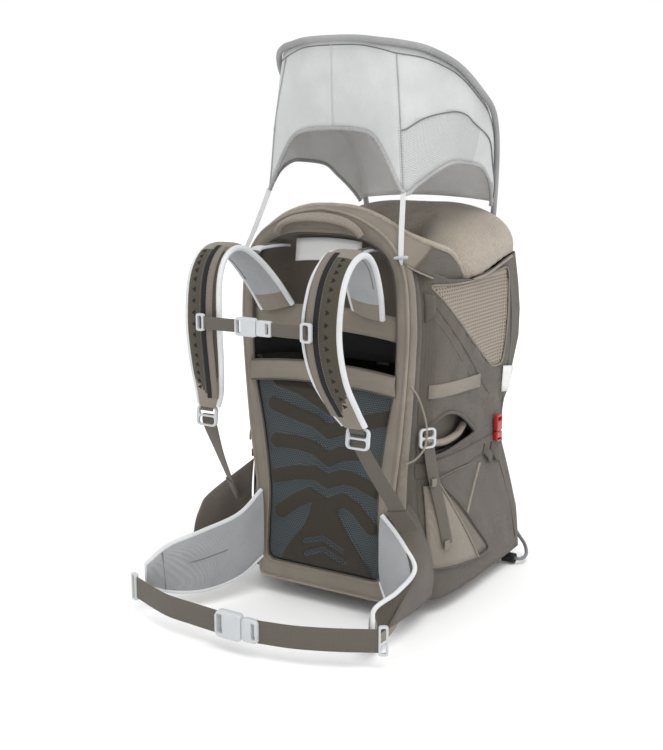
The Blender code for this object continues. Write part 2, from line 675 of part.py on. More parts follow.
def build_harness():
    block("harness_yoke", (0.244, 0.005, 0.050), (0.0, 0.0155, 0.473), "base_plastic", 0.001)
    for side, sign in SIDES.items():
        stations = [((sign * 0.088, 0.001, 0.513), (0.96, sign * -0.10, sign * -0.20), 0.064),
                    ((sign * 0.097, -0.028, 0.556), (0.98, 0.0, sign * -0.12), 0.066),
                    ((sign * 0.107, -0.064, 0.597), (1, 0, 0), 0.066),
                    ((sign * 0.114, -0.100, 0.619), (1, 0, 0), 0.062),
                    ((sign * 0.115, -0.137, 0.609), (1, 0, 0), 0.060),
                    ((sign * 0.112, -0.163, 0.572), (1, 0, 0), 0.064),
                    ((sign * 0.109, -0.172, 0.505), (1, 0, 0), 0.068),
                    ((sign * 0.114, -0.160, 0.440), (1, 0, 0), 0.064),
                    ((sign * 0.127, -0.138, 0.390), (1, 0, 0), 0.054),
                    ((sign * 0.138, -0.125, 0.363), (1, 0, 0), 0.044)]
        strap(f"shoulder_strap_{side}", stations, STRAP_THICKNESS, "dark_mesh", padded_ring, per_span=3)
        lock = block(f"shoulder_lock_{side}", (0.038, 0.006, 0.024), (sign * 0.1435, -0.1215, 0.344),
                     "pale_plastic", 0.001)
        for step, offset in enumerate((-0.0055, 0.0045)):
            cut(lock, box_cutter(f"shoulder_slot_{side}_{step}", (0.028, 0.012, 0.0045),
                                 (sign * 0.1435, -0.1215, 0.344 + offset)))
        line = [((sign * 0.1450, -0.116, 0.327), (1, 0.1, 0), 0.025),
                ((sign * 0.1540, -0.082, 0.275), (0.9, sign * 0.3, 0), 0.025),
                ((sign * 0.1640, -0.042, 0.218), (0.8, sign * 0.5, 0), 0.025),
                ((sign * 0.1700, -0.016, 0.178), (0.7, sign * 0.6, 0), 0.025)]
        strap(f"shoulder_web_{side}", line, WEB_THICKNESS, "webbing")
        hook = [((sign * 0.086, 0.028, 0.613), (1, 0, 0), 0.016),
                ((sign * 0.087, -0.004, 0.615), (1, 0, 0), 0.018),
                ((sign * 0.092, -0.044, 0.613), (1, 0, 0), 0.020)]
        strap(f"lifter_hook_{side}", hook, 0.004, "pale_plastic")


STERNUM_Y = -0.1915
STERNUM_Z = 0.511


def build_sternum():
    block("sternum_slider_right", (0.014, 0.007, 0.026), (-0.1000, STERNUM_Y, STERNUM_Z),
          "pale_plastic", 0.001)
    block("sternum_slider_left", (0.018, 0.007, 0.029), (0.0950, STERNUM_Y, STERNUM_Z),
          "pale_plastic", 0.001)
    block("sternum_web_right", (0.0590, WEB_THICKNESS, STERNUM_WEB_WIDTH), (-0.0620, STERNUM_Y, STERNUM_Z),
          "webbing", 0.0)
    block("sternum_web_left", (0.0510, WEB_THICKNESS, STERNUM_WEB_WIDTH), (0.0595, STERNUM_Y, STERNUM_Z),
          "webbing", 0.0)
    socket = block("sternum_socket", (0.038, 0.010, 0.030), (-0.0125, STERNUM_Y, STERNUM_Z),
                   "pale_plastic", 0.002)
    cut(socket, box_cutter("sternum_mouth", (0.024, 0.005, 0.020), (0.0000, STERNUM_Y, STERNUM_Z)))
    clip = block("sternum_clip", (0.025, 0.009, 0.024), (0.0205, STERNUM_Y, STERNUM_Z),
                 "pale_plastic", 0.0015)
    cut(clip, box_cutter("sternum_tongue", (0.020, 0.0035, 0.016), (0.0020, STERNUM_Y, STERNUM_Z)), "UNION")


def build_belt():
    right = [((-0.1195, -0.0065, 0.130), (0, 0, 1), 0.126), ((-0.138, -0.050, 0.098), (0, 0, 1), 0.118),
             ((-0.172, -0.108, 0.081), (-0.1, 0, 1), 0.108), ((-0.208, -0.152, 0.074), (-0.1, 0, 1), 0.086),
             ((-0.234, -0.182, 0.068), (0, 0, 1), 0.044)]
    left = [((0.1210, -0.0085, 0.128), (0, 0, 1), 0.122),
            ((0.154, -0.017, 0.091), (0.014, 0.030, 0.102), 0.106),
            ((0.181, -0.040, 0.066), (0.016, 0.050, 0.092), 0.102),
            ((0.184, -0.087, 0.053), (0.006, 0.030, 0.078), 0.082),
            ((0.179, -0.130, 0.048), (0, 0, 1), 0.068),
            ((0.188, -0.152, 0.047), (0, 0, 1), 0.040)]
    strap("hip_wing_right", right, 0.013, "grey_fabric", padded_ring)
    strap("hip_wing_left", left, 0.013, "grey_fabric", padded_ring)
    web = [((-0.2335, -0.2040, 0.051), (0, 0, 1), HIP_WEB_WIDTH),
           ((-0.160, -0.226, 0.047), (0, 0, 1), HIP_WEB_WIDTH),
           ((-0.0490, -0.234, 0.045), (0, 0, 1), HIP_WEB_WIDTH)]
    strap("hip_web_right", web, WEB_THICKNESS, "webbing")
    web = [((0.0345, -0.2325, 0.045), (0, 0, 1), HIP_WEB_WIDTH),
           ((0.090, -0.2215, 0.046), (0, 0, 1), HIP_WEB_WIDTH),
           ((0.150, -0.199, 0.047), (0, 0, 1), HIP_WEB_WIDTH),
           ((0.2040, -0.1695, 0.047), (0, 0, 1), HIP_WEB_WIDTH)]
    strap("hip_web_left", web, WEB_THICKNESS, "webbing")
    block("hip_slider_right", (0.014, 0.008, 0.046), (-0.2430, -0.2020, 0.052), "pale_plastic", 0.001,
          (0.0, 0.0, -0.35))
    block("hip_slider_left", (0.012, 0.008, 0.048), (0.2135, -0.1635, 0.047), "pale_plastic", 0.001,
          (0.0, 0.0, 0.55))
    socket = block("hip_socket", (0.048, 0.014, 0.046), (-0.0220, -0.234, 0.045), "pale_plastic", 0.003)
    cut(socket, box_cutter("hip_mouth", (0.034, 0.007, 0.032), (-0.0120, -0.234, 0.045)))
    clip = block("hip_clip", (0.028, 0.013, 0.038), (0.0180, -0.234, 0.045), "pale_plastic", 0.002)
    cut(clip, box_cutter("hip_tongue", (0.034, 0.0045, 0.026), (-0.0060, -0.234, 0.045)), "UNION")


def build_pivots():
    """One empty on each joint's axis, with the pieces that the joint moves under it."""
    hang("kickstand_axis", (0.0, *STAND_PIVOT),
         ["kickstand_hoop", "kickstand_foot_left", "kickstand_foot_right"])
    hang("sunshade_axis", (0.0, *SHADE_PIVOT),
         ["shade_hoop", "shade_canopy", "shade_strap_left", "shade_strap_right", "shade_toggle_left",
          "shade_toggle_right"])
    hang("seat_height_axis", (0.0, 0.190, 0.288), ["child_seat"])
    harness = hang("harness_axis", (0.0, 0.0155, 0.473),
                   ["harness_yoke"] + [f"{name}_{side}" for name in ("shoulder_strap", "shoulder_web")
                                       for side in SIDES])
    sternum = hang("sternum_height_axis", (0.0, STERNUM_Y, STERNUM_Z),
                   ["sternum_slider_left", "sternum_slider_right", "sternum_web_left",
                    "sternum_web_right", "sternum_socket"], harness)
    hang("sternum_release_axis", (0.0, STERNUM_Y, STERNUM_Z), ["sternum_clip"], sternum)
    hang("hip_release_axis", (0.0, -0.234, 0.045), ["hip_clip"])
    for side, sign in SIDES.items():
        hang(f"shoulder_lock_axis_{side}", (sign * 0.1435, -0.1215, 0.355), [f"shoulder_lock_{side}"],
             harness)
        hang(f"side_lock_axis_{side}", (sign * 0.1685, 0.052, 0.321), [f"side_lock_{side}"])
        hang(f"side_release_axis_{side}", (sign * 0.187, 0.300, 0.2615), [f"side_clip_{side}"])


def main():
    build_frame()
    build_base()
    build_front()
    build_recess()
    build_collar()
    build_haul_handle()
    build_lower_bag()
    build_cockpit()
    build_windows()
    for side, sign in SIDES.items():
        build_side(side, sign)
    build_cockpit_inside()
    build_kickstand()
    build_sunshade()
    build_harness()
    build_sternum()
    build_belt()
    build_pivots()
    for item in list(PARTS.objects) + list(CUTTERS.objects):
        if not item.parent:
            item.location.y -= ORIGIN_Y


main()
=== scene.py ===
"""The looks of a child carrier backpack: fabric, webbing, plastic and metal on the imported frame.

Points are written as (x, y, z) in metres, with y counted from the plane of the back panel.
"""

import math

import bmesh
import bpy
from mathutils import Matrix, Vector


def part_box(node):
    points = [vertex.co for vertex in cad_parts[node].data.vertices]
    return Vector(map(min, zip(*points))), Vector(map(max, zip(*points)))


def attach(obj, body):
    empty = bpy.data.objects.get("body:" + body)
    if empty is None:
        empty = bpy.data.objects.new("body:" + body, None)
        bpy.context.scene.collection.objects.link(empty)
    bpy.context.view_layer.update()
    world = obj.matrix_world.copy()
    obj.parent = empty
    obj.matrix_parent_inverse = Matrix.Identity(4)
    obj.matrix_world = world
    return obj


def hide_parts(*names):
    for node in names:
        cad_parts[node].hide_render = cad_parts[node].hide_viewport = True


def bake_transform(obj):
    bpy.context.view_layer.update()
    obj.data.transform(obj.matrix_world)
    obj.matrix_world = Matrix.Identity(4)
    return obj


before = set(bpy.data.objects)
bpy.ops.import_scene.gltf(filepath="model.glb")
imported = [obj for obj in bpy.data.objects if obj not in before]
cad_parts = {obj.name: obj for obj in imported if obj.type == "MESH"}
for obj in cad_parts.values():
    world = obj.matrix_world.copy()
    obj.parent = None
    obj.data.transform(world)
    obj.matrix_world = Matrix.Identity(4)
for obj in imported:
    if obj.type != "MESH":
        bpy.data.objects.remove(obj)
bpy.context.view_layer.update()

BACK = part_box("front_cover")[0][1] - 0.002
SIDES = {"left": 1.0, "right": -1.0}
SEAM_HEIGHT = 0.250
UP = Vector((0.0, 0.0, 1.0))

COLOURS = {
    # The sunshade's inside colour is painted lighter than its cloth, as painted light for the sun shining
    # through it.
    "shade": "#cbcdcc", "shade_inner_backlit": "#f0f0ef", "shade_rim": "#a3a2a3",
    "shade_hem": "#b4b4b4", "seam": "#77777a", "taupe": "#8b8276", "taupe_dark": "#544d44", "side": "#5c554c",
    "taupe_deep": "#746b5f", "knit": "#a09587", "knit_light": "#b0a596", "window": "#998e81",
    # The hole colours are painted shade seen through the meshes, over the colour of what lies behind them.
    "window_hole_shade": "#4a443b", "piping_beige": "#9a8f82", "strap_mesh": "#494437", "strap_hole_shade": "#2c2922",
    "strap_grey": "#a9abac", "piping": "#dcddde", "rail": "#7a7166", "black": "#0c0d0d",
    "rib": "#332c21", "wing": "#a0a1a3", "wing_mesh": "#4b4537",
    "web": "#5d574e", "web_dark": "#4a453c", "plastic": "#bfc2c4", "red": "#a3201f", "tag": "#e4e4e2",
    "metal": "#8f9192", "stand": "#85878a", "rubber": "#141414", "tray": "#1d1d1e", "grey": "#8d8f90",
    "handle": "#8d8275",
}


def at(x, y, z):
    return Vector((x, y + BACK, z))


def shade_of(code, strength=1.0):
    """Linear colour of a hex code."""
    linear = []
    for start in (1, 3, 5):
        value = int(code[start:start + 2], 16) / 255
        value = value / 12.92 if value <= 0.04045 else ((value + 0.055) / 1.055) ** 2.4
        linear.append(value * strength)
    return (*linear, 1.0)


# Materials

class Sheet:
    """A material under construction."""

    def __init__(self, name, roughness=0.8, metallic=0.0, sheen=0.0, coat=0.0):
        self.material = bpy.data.materials.new(name)
        self.material.use_nodes = True
        self.tree = self.material.node_tree
        self.shader = self.tree.nodes["Principled BSDF"]
        self.shader.inputs["Roughness"].default_value = roughness
        self.shader.inputs["Metallic"].default_value = metallic
        self.shader.inputs["Sheen Weight"].default_value = sheen
        self.shader.inputs["Sheen Roughness"].default_value = 0.5
        self.shader.inputs["Coat Weight"].default_value = coat
        self.places = {}

    def node(self, kind, **values):
        made = self.tree.nodes.new(kind)
        for key, value in values.items():
            setattr(made, key, value)
        return made

    def feed(self, socket, value):
        if isinstance(value, bpy.types.NodeSocket):
            self.tree.links.new(value, socket)
        else:
            socket.default_value = value

    def sum(self, operation, a, b=0.0, c=0.0):
        made = self.node("ShaderNodeMath", operation=operation)
        for socket, value in zip(made.inputs, (a, b, c)):
            self.feed(socket, value)
        return made.outputs[0]

    def axes(self, source):
        """The three separate coordinates of the object, the UV map or the surface normal."""
        if source not in self.places:
            split = self.node("ShaderNodeSeparateXYZ")
            if source == "Normal":
                self.feed(split.inputs[0], self.node("ShaderNodeNewGeometry").outputs["Normal"])
            else:
                self.feed(split.inputs[0], self.node("ShaderNodeTexCoord").outputs[source])
            self.places[source] = split.outputs
        return self.places[source]

    def noise(self, scale, detail=3.0, stretch=(1.0, 1.0, 1.0), source="Object"):
        moved = self.node("ShaderNodeMapping")
        moved.inputs["Scale"].default_value = stretch
        self.feed(moved.inputs["Vector"], self.node("ShaderNodeTexCoord").outputs[source])
        made = self.node("ShaderNodeTexNoise")
        made.inputs["Scale"].default_value = scale
        made.inputs["Detail"].default_value = detail
        self.feed(made.inputs["Vector"], moved.outputs[0])
        return made.outputs["Fac"]

    def blend(self, share, a, b):
        made = self.node("ShaderNodeMix", data_type="RGBA")
        self.feed(made.inputs[0], share)
        self.feed(made.inputs[6], a)
        self.feed(made.inputs[7], b)
        return made.outputs[2]

    def range(self, value, low, high, to_low=0.0, to_high=1.0):
        made = self.node("ShaderNodeMapRange", interpolation_type="SMOOTHSTEP")
        for socket, number in zip(made.inputs, (value, low, high, to_low, to_high)):
            self.feed(socket, number)
        return made.outputs[0]

    def colour(self, value):
        self.feed(self.shader.inputs["Base Color"], value)
        return self

    def bump(self, height, distance, strength=1.0):
        made = self.node("ShaderNodeBump")
        made.inputs["Distance"].default_value = distance
        made.inputs["Strength"].default_value = strength
        self.feed(made.inputs["Height"], height)
        normal = self.shader.inputs["Normal"]
        if normal.is_linked:
            self.feed(made.inputs["Normal"], normal.links[0].from_socket)
        self.feed(normal, made.outputs[0])
        return self

    def weave(self, pitch, distance):
        """Fine threads that need no UV map."""
        x, y, z = self.axes("Object")
        waves = [self.sum("SINE", self.sum("MULTIPLY", axis, math.tau / pitch)) for axis in (x, y, z)]
        first = self.sum("MULTIPLY", waves[0], waves[2])
        second = self.sum("MULTIPLY", waves[1], waves[2])
        third = self.sum("MULTIPLY", waves[0], waves[1])
        total = self.sum("ADD", self.sum("ADD", first, second), third)
        return self.bump(total, distance)

    def tone(self, code, other, scale=14.0, stretch=(1.0, 1.0, 1.0), low=0.35, high=0.65):
        """Two tones of one colour that drift into each other."""
        share = self.range(self.noise(scale, 4.0, stretch), low, high)
        return self.blend(share, shade_of(code), shade_of(other))

    def grid(self, pitch, width):
        """Fine lines along all three axes, none where the surface faces along the axis."""
        total = 0.0
        for place, normal in zip(self.axes("Object"), self.axes("Normal")):
            wave = self.sum("PINGPONG", place, pitch / 2)
            line = self.range(wave, 0.0, width, 1.0, 0.0)
            facing = self.sum("SUBTRACT", 1.0, self.sum("MULTIPLY", normal, normal))
            line = self.sum("MULTIPLY", line, self.range(facing, 0.3, 0.6))
            total = self.sum("MAXIMUM", total, line)
        return total

    def dots(self, across, along, size, slant=0.0, source="UV"):
        """Staggered holes: 1 inside a hole and 0 outside."""
        u, v = self.axes(source)[0], self.axes(source)[1]
        if source == "Object":
            u, v = self.axes(source)[1], self.axes(source)[2]
        u = self.sum("ADD", u, self.sum("MULTIPLY", v, slant))
        row = self.sum("DIVIDE", v, along)
        shift = self.sum("MULTIPLY", self.sum("MODULO", self.sum("FLOOR", row), 2.0), 0.5)
        a = self.sum("FRACT", self.sum("ADD", self.sum("DIVIDE", u, across), shift))
        b = self.sum("FRACT", row)
        a = self.sum("DIVIDE", self.sum("SUBTRACT", a, 0.5), size[0])
        b = self.sum("DIVIDE", self.sum("SUBTRACT", b, 0.5), size[1])
        away = self.sum("ADD", self.sum("MULTIPLY", a, a), self.sum("MULTIPLY", b, b))
        return self.range(away, 0.6, 1.2, 1.0, 0.0)


def fabric(name, code, other=None, pitch=0.0016, depth=0.00018, ripstop=False, folds=0.0, sheen=0.15):
    made = Sheet(name, 0.85, sheen=sheen)
    tone = made.tone(COLOURS[code], other or COLOURS[code])
    fine = made.range(made.noise(700.0, 2.0), 0.3, 0.7, 0.0, 1.0)
    tone = made.blend(made.sum("MULTIPLY", fine, 0.18), tone, shade_of(COLOURS[code], 0.55))
    if ripstop:
        lines = made.grid(0.0055, 0.0007)
        tone = made.blend(made.sum("MULTIPLY", lines, 0.36), tone, shade_of(COLOURS[code], 0.45))
        made.bump(lines, 0.0003)
    made.colour(tone)
    made.weave(pitch, depth)
    if folds:
        made.bump(made.noise(22.0, 3.0, (1.0, 1.0, 0.6)), folds)
    return made.material


def knit(name, code, light):
    """A melange knit: short pale and dark threads."""
    made = Sheet(name, 0.95, sheen=0.3)
    broad = made.tone(COLOURS[code], COLOURS[light], 9.0)
    threads = made.range(made.noise(420.0, 3.0, (1.0, 1.0, 0.45)), 0.30, 0.70)
    made.colour(made.blend(made.sum("MULTIPLY", threads, 0.42), broad, shade_of(COLOURS[code], 0.52)))
    made.bump(threads, 0.00035)
    made.weave(0.0022, 0.0002)
    return made.material


def mesh_cloth(name, code, hole, across, along, size, slant=0.0, source="UV", strength=0.9):
    made = Sheet(name, 0.9, sheen=0.1)
    holes = made.dots(across, along, size, slant, source)
    tone = made.tone(COLOURS[code], COLOURS[code], 20.0)
    threads = made.range(made.noise(500.0, 2.0), 0.3, 0.7, 0.0, 0.25)
    tone = made.blend(threads, tone, shade_of(COLOURS[code], 0.5))
    # The holes take the hole colour: painted shade inside them, over the colour of what lies behind the mesh.
    made.colour(made.blend(made.sum("MULTIPLY", holes, strength), tone, shade_of(COLOURS[hole])))
    made.bump(made.sum("SUBTRACT", 1.0, holes), 0.0006)
    return made.material


def webbing(name, code, ribs=0.0021):
    """A woven strap: fine bars across it and cords along it."""
    made = Sheet(name, 0.75, sheen=0.1)
    u, v = made.axes("UV")[0], made.axes("UV")[1]
    bars = made.sum("SINE", made.sum("MULTIPLY", v, math.tau / ribs))
    cords = made.sum("SINE", made.sum("MULTIPLY", u, math.tau / (ribs * 1.6)))
    height = made.sum("ADD", bars, made.sum("MULTIPLY", cords, 0.6))
    tone = made.tone(COLOURS[code], COLOURS[code], 40.0)
    shadow = made.range(height, -1.6, 0.6, 0.35, 0.0)
    made.colour(made.blend(shadow, tone, shade_of(COLOURS[code], 0.4)))
    made.bump(height, 0.0002)
    return made.material


def solid(name, code, roughness=0.4, metallic=0.0, grain=160.0, depth=0.00008, coat=0.0):
    """Moulded plastic, rubber or metal with a fine grain."""
    made = Sheet(name, roughness, metallic, coat=coat)
    made.colour(made.blend(made.range(made.noise(35.0), 0.3, 0.7, 0.0, 0.25), shade_of(COLOURS[code]),
                           shade_of(COLOURS[code], 0.8)))
    made.feed(made.shader.inputs["Roughness"],
              made.range(made.noise(grain, 2.0), 0.3, 0.7, roughness * 0.8, roughness * 1.25))
    made.bump(made.noise(grain * 3, 2.0), depth)
    return made.material


def padded_mesh(name):
    """The panel's own cloth: its paint layer says where the ribs are."""
    made = Sheet(name, 0.9, sheen=0.1)
    paint = made.node("ShaderNodeVertexColor", layer_name="rib").outputs[0]
    rib = made.range(paint, 0.35, 0.65)
    net = made.dots(0.0042, 0.0036, (0.40, 0.40), 0.0, "UV")
    # The net's holes are painted near-black: the dark backing of the spacer mesh, deepened as painted shade
    # inside the holes.
    slate = made.blend(made.sum("MULTIPLY", net, 0.85), shade_of("#4a5255"), shade_of("#141616"))
    brown = made.blend(made.sum("MULTIPLY", net, 0.55), shade_of(COLOURS["rib"]), shade_of("#1f1a13"))
    made.colour(made.blend(rib, slate, brown))
    made.bump(made.sum("SUBTRACT", 1.0, net), 0.0004)
    return made.material


MAT = {
    "shade": fabric("shade_cloth", "shade", "#c2c4c4", 0.0009, 0.00004, folds=0.0012, sheen=0.0),
    # Its holes take the grey seam colour as painted shade seen through the mesh.
    "shade_mesh": mesh_cloth("shade_mesh", "shade", "seam", 0.0030, 0.0026, (0.36, 0.36), strength=0.42),
    # The inside of the sunshade is a lighter copy of its cloth: painted light for the sun shining through the
    # thin fabric.
    "shade_inner_backlit": fabric("shade_inner_backlit", "shade_inner_backlit", "#e6e6e5", 0.0009, 0.00004, sheen=0.0),
    "shade_rim": fabric("shade_rim", "shade_rim", "#999899", 0.0016, 0.00012, sheen=0.0),
    "shade_hem": fabric("shade_hem", "shade_hem", "#a6a6a7", 0.0020, 0.0002, sheen=0.0),
    "seam": fabric("seam_thread", "seam", None, 0.0012, 0.0001, sheen=0.0),
    "taupe": fabric("taupe_cloth", "taupe", "#82796d"),
    "taupe_rip": fabric("taupe_ripstop", "side", "#544d44", ripstop=True, folds=0.0025),
    "dark_rip": fabric("dark_ripstop", "taupe_dark", "#565045", ripstop=True, folds=0.0020),
    "taupe_dark": fabric("taupe_dark", "taupe_dark", "#554e45"),
    "sturdy": fabric("stabilizer_cloth", "side", "#544d44", folds=0.0015),
    "deep": fabric("deep_taupe", "taupe_deep", "#6a6257"),
    "piping_beige": fabric("beige_piping", "piping_beige", "#8f8578"),
    "knit": knit("beige_knit", "knit", "knit_light"),
    "handle": knit("handle_knit", "handle", "handle"),
    "window": mesh_cloth("beige_window", "window", "window_hole_shade", 0.0075, 0.0062, (0.30, 0.36), 0.5,
                         strength=0.75),
    "strap_mesh": mesh_cloth("strap_mesh", "strap_mesh", "strap_hole_shade", 0.0030, 0.0030, (0.30, 0.30),
                             strength=0.5),
    "strap_grey": fabric("strap_lining", "strap_grey", "#9da0a2", 0.0014, 0.00012),
    "piping": fabric("pale_piping", "piping", "#d2d4d5", 0.0014, 0.00010, sheen=0.0),
    "rail": webbing("rail_webbing", "rail"),
    "black": fabric("black_lining", "black", "#101112", 0.0016, 0.0001, sheen=0.0),
    "panel": padded_mesh("panel_mesh"),
    "wing": fabric("wing_lining", "wing", "#96989a", 0.0016, 0.00014, folds=0.0012),
    "wing_mesh": mesh_cloth("wing_mesh", "wing_mesh", "strap_hole_shade", 0.0034, 0.0034, (0.32, 0.32)),
    "web": webbing("taupe_webbing", "web"),
    "web_dark": webbing("dark_webbing", "web_dark"),
    "web_pale": webbing("pale_webbing", "piping", 0.0016),
    "plastic": solid("pale_plastic", "plastic", 0.38, coat=0.1),
    "red": solid("red_plastic", "red", 0.35, coat=0.2),
    "tag": fabric("blank_tag", "tag", None, 0.0014, 0.00008, sheen=0.0),
    "metal": solid("frame_metal", "metal", 0.38, 1.0, 90.0),
    "stand": solid("stand_metal", "stand", 0.42, 0.9, 90.0),
    "rubber": solid("black_rubber", "rubber", 0.75, depth=0.0002),
    "tray": solid("tray_plastic", "tray", 0.55, depth=0.0002),
    "grey": fabric("grey_webbing", "grey", "#838587", 0.0018, 0.0002),
}


# Shapes

def smooth(points, per_span=6, closed=False):
    """Points along a Catmull-Rom curve through the given ones."""
    knots = [Vector(point) for point in points]
    count = len(knots)
    found = []
    for span in range(count if closed else count - 1):
        if closed:
            a, b, c, d = (knots[(span + step) % count] for step in (-1, 0, 1, 2))
        else:
            b, c = knots[span], knots[span + 1]
            a = knots[span - 1] if span else b * 2 - c
            d = knots[span + 2] if span + 2 < count else c * 2 - b
        for step in range(per_span):
            t = step / per_span
            found.append(0.5 * (b * 2 + (c - a) * t + (a * 2 - b * 5 + c * 4 - d) * t ** 2
                                + (b * 3 - a - c * 3 + d) * t ** 3))
    if not closed:
        found.append(knots[-1].copy())
    return found


def evenly(points, count, closed=False):
    """The same line with its points at even steps."""
    line = [Vector(point) for point in points]
    if closed:
        line.append(line[0].copy())
    marks = [0.0]
    for before, after in zip(line, line[1:]):
        marks.append(marks[-1] + (after - before).length)
    steps = count if closed else count - 1
    found = []
    index = 0
    for step in range(count):
        goal = marks[-1] * step / steps
        while index < len(marks) - 2 and marks[index + 1] < goal:
            index += 1
        span = marks[index + 1] - marks[index] or 1.0
        found.append(line[index].lerp(line[index + 1], (goal - marks[index]) / span))
    return found


def look_up(table, value):
    """A row of numbers at this value, from a sorted table of (value, numbers...)."""
    if value <= table[0][0]:
        return table[0][1:]
    for low, high in zip(table, table[1:]):
        if value <= high[0]:
            share = (value - low[0]) / (high[0] - low[0])
            return tuple(a + (b - a) * share for a, b in zip(low[1:], high[1:]))
    return table[-1][1:]


def mirrored(points):
    """The points followed by their mirror images, for a symmetric line that starts on the left."""
    other = [(-x, y, z) for x, y, z in reversed(points) if abs(x) > 1e-9]
    return list(points) + other


def place(name, data, materials, body="pack", slot="taupe_fabric", nodes=()):
    item = bpy.data.objects.new(name, data)
    bpy.context.scene.collection.objects.link(item)
    for key in materials:
        data.materials.append(MAT[key])
    if body:
        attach(item, body)
    if nodes:
        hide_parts(*nodes)
    return item


def turn_out(work, centre):
    """Turns the faces so that they look away from the centre."""
    bmesh.ops.recalc_face_normals(work, faces=work.faces)
    total = 0.0
    for face in work.faces:
        total += face.normal.dot(face.calc_center_median() - centre) * face.calc_area()
    if total < 0:
        bmesh.ops.reverse_faces(work, faces=work.faces)


def surface(name, rows, materials, body="pack", slot="taupe_fabric", nodes=(), wrap=False, thickness=0.002,
            centre=None, paint=None, inner=None, keep=None, offset=-1.0):
    """A cloth on a grid of points, whose UV map is in metres along its rows and columns."""
    work = bmesh.new()
    uv = work.loops.layers.uv.new("UVMap")
    grid = [[work.verts.new(point) for point in row] for row in rows]
    middle = rows[len(rows) // 2]
    us = [0.0]
    for before, after in zip(middle, middle[1:]):
        us.append(us[-1] + (after - before).length)
    us.append(us[-1] + (middle[0] - middle[-1]).length)
    column = [row[len(row) // 2] for row in rows]
    vs = [0.0]
    for before, after in zip(column, column[1:]):
        vs.append(vs[-1] + (after - before).length)
    for j in range(len(rows) - 1):
        for i in range(len(middle) - (0 if wrap else 1)):
            after = (i + 1) % len(middle)
            corners = (grid[j][i], grid[j][after], grid[j + 1][after], grid[j + 1][i])
            mid = sum((corner.co for corner in corners), Vector()) / 4
            if keep and not keep(mid, i, j):
                continue
            face = work.faces.new(corners)
            for loop, place_uv in zip(face.loops, ((us[i], vs[j]), (us[i + 1], vs[j]),
                                                   (us[i + 1], vs[j + 1]), (us[i], vs[j + 1]))):
                loop[uv].uv = place_uv
            if paint:
                face.material_index = paint(mid, i, j)
    loose = [vert for vert in work.verts if not vert.link_faces]
    bmesh.ops.delete(work, geom=loose, context="VERTS")
    turn_out(work, centre if centre is not None else at(0.0, 0.2, 0.3))
    data = bpy.data.meshes.new(name)
    work.to_mesh(data)
    work.free()
    data.shade_smooth()
    item = place(name, data, materials, body, slot, nodes)
    if thickness:
        shell = item.modifiers.new("thickness", "SOLIDIFY")
        shell.thickness = thickness
        shell.offset = offset
        if inner is not None:
            shell.material_offset = inner
    return item


def loft(name, rings, materials, body="pack", slot="taupe_fabric", nodes=(), paint=None, closed=False,
         caps=True):
    """A solid through closed rings, with UVs in metres: across the ring, then along it."""
    work = bmesh.new()
    uv = work.loops.layers.uv.new("UVMap")
    grid = [[work.verts.new(point) for point in ring] for ring in rings]
    size = len(rings[0])
    middle = rings[len(rings) // 2]
    us = [0.0]
    for index in range(size):
        us.append(us[-1] + (middle[(index + 1) % size] - middle[index]).length)
    vs = [0.0]
    for before, after in zip(rings, rings[1:] + [rings[0]]):
        vs.append(vs[-1] + (after[0] - before[0]).length)
    pairs = [(index, index + 1) for index in range(len(rings) - 1)]
    if closed:
        pairs.append((len(rings) - 1, 0))
    for low, high in pairs:
        for i in range(size):
            after = (i + 1) % size
            face = work.faces.new((grid[low][i], grid[low][after], grid[high][after], grid[high][i]))
            for loop, place_uv in zip(face.loops, ((us[i], vs[low]), (us[i + 1], vs[low]),
                                                   (us[i + 1], vs[low + 1]), (us[i], vs[low + 1]))):
                loop[uv].uv = place_uv
            if paint:
                face.material_index = paint(i, low)
    if caps and not closed:
        work.faces.new(grid[0])
        work.faces.new(grid[-1])
    bmesh.ops.recalc_face_normals(work, faces=work.faces)
    data = bpy.data.meshes.new(name)
    work.to_mesh(data)
    work.free()
    data.shade_smooth()
    data.set_sharp_from_angle(angle=math.radians(50))
    return place(name, data, materials, body, slot, nodes)


def tube(name, points, radius, material, body="pack", slot="taupe_fabric", nodes=(), closed=False, sides=4):
    """A round piping, wire or thread along the points."""
    data = bpy.data.curves.new(name, "CURVE")
    data.dimensions = "3D"
    data.bevel_depth = radius
    data.bevel_resolution = sides
    data.use_fill_caps = not closed
    line = data.splines.new("POLY")
    line.points.add(len(points) - 1)
    for knot, point in zip(line.points, points):
        knot.co = (*point, 1.0)
        knot.radius = 1.0
    line.use_cyclic_u = closed
    line.use_smooth = True
    return place(name, data, [material], body, slot, nodes)


def plate(name, outlines, depth, material, matrix, body="pack", slot="pale_plastic", nodes=(),
          round_edge=0.0008):
    """A flat moulded piece: the first outline, less the holes that follow, with rounded edges."""
    data = bpy.data.curves.new(name, "CURVE")
    data.dimensions = "2D"
    data.fill_mode = "BOTH"
    data.extrude = max(depth / 2 - round_edge, 0.0001)
    data.bevel_depth = round_edge
    data.bevel_resolution = 2
    data.offset = -round_edge
    for outline in outlines:
        line = data.splines.new("POLY")
        line.points.add(len(outline) - 1)
        for knot, (x, z) in zip(line.points, outline):
            knot.co = (x, z, 0.0, 1.0)
        line.use_cyclic_u = True
    data.materials.append(MAT[material])
    item = bpy.data.objects.new(name, data)
    bpy.context.scene.collection.objects.link(item)
    item.matrix_world = matrix
    bpy.context.view_layer.update()
    solid_data = bpy.data.meshes.new_from_object(item.evaluated_get(bpy.context.evaluated_depsgraph_get()))
    solid_data.transform(matrix)
    bpy.data.objects.remove(item, do_unlink=True)
    solid_data.name = name
    solid_data.shade_smooth()
    solid_data.set_sharp_from_angle(angle=math.radians(45))
    solid_data.materials.clear()
    return place(name, solid_data, [material], body, slot, nodes)


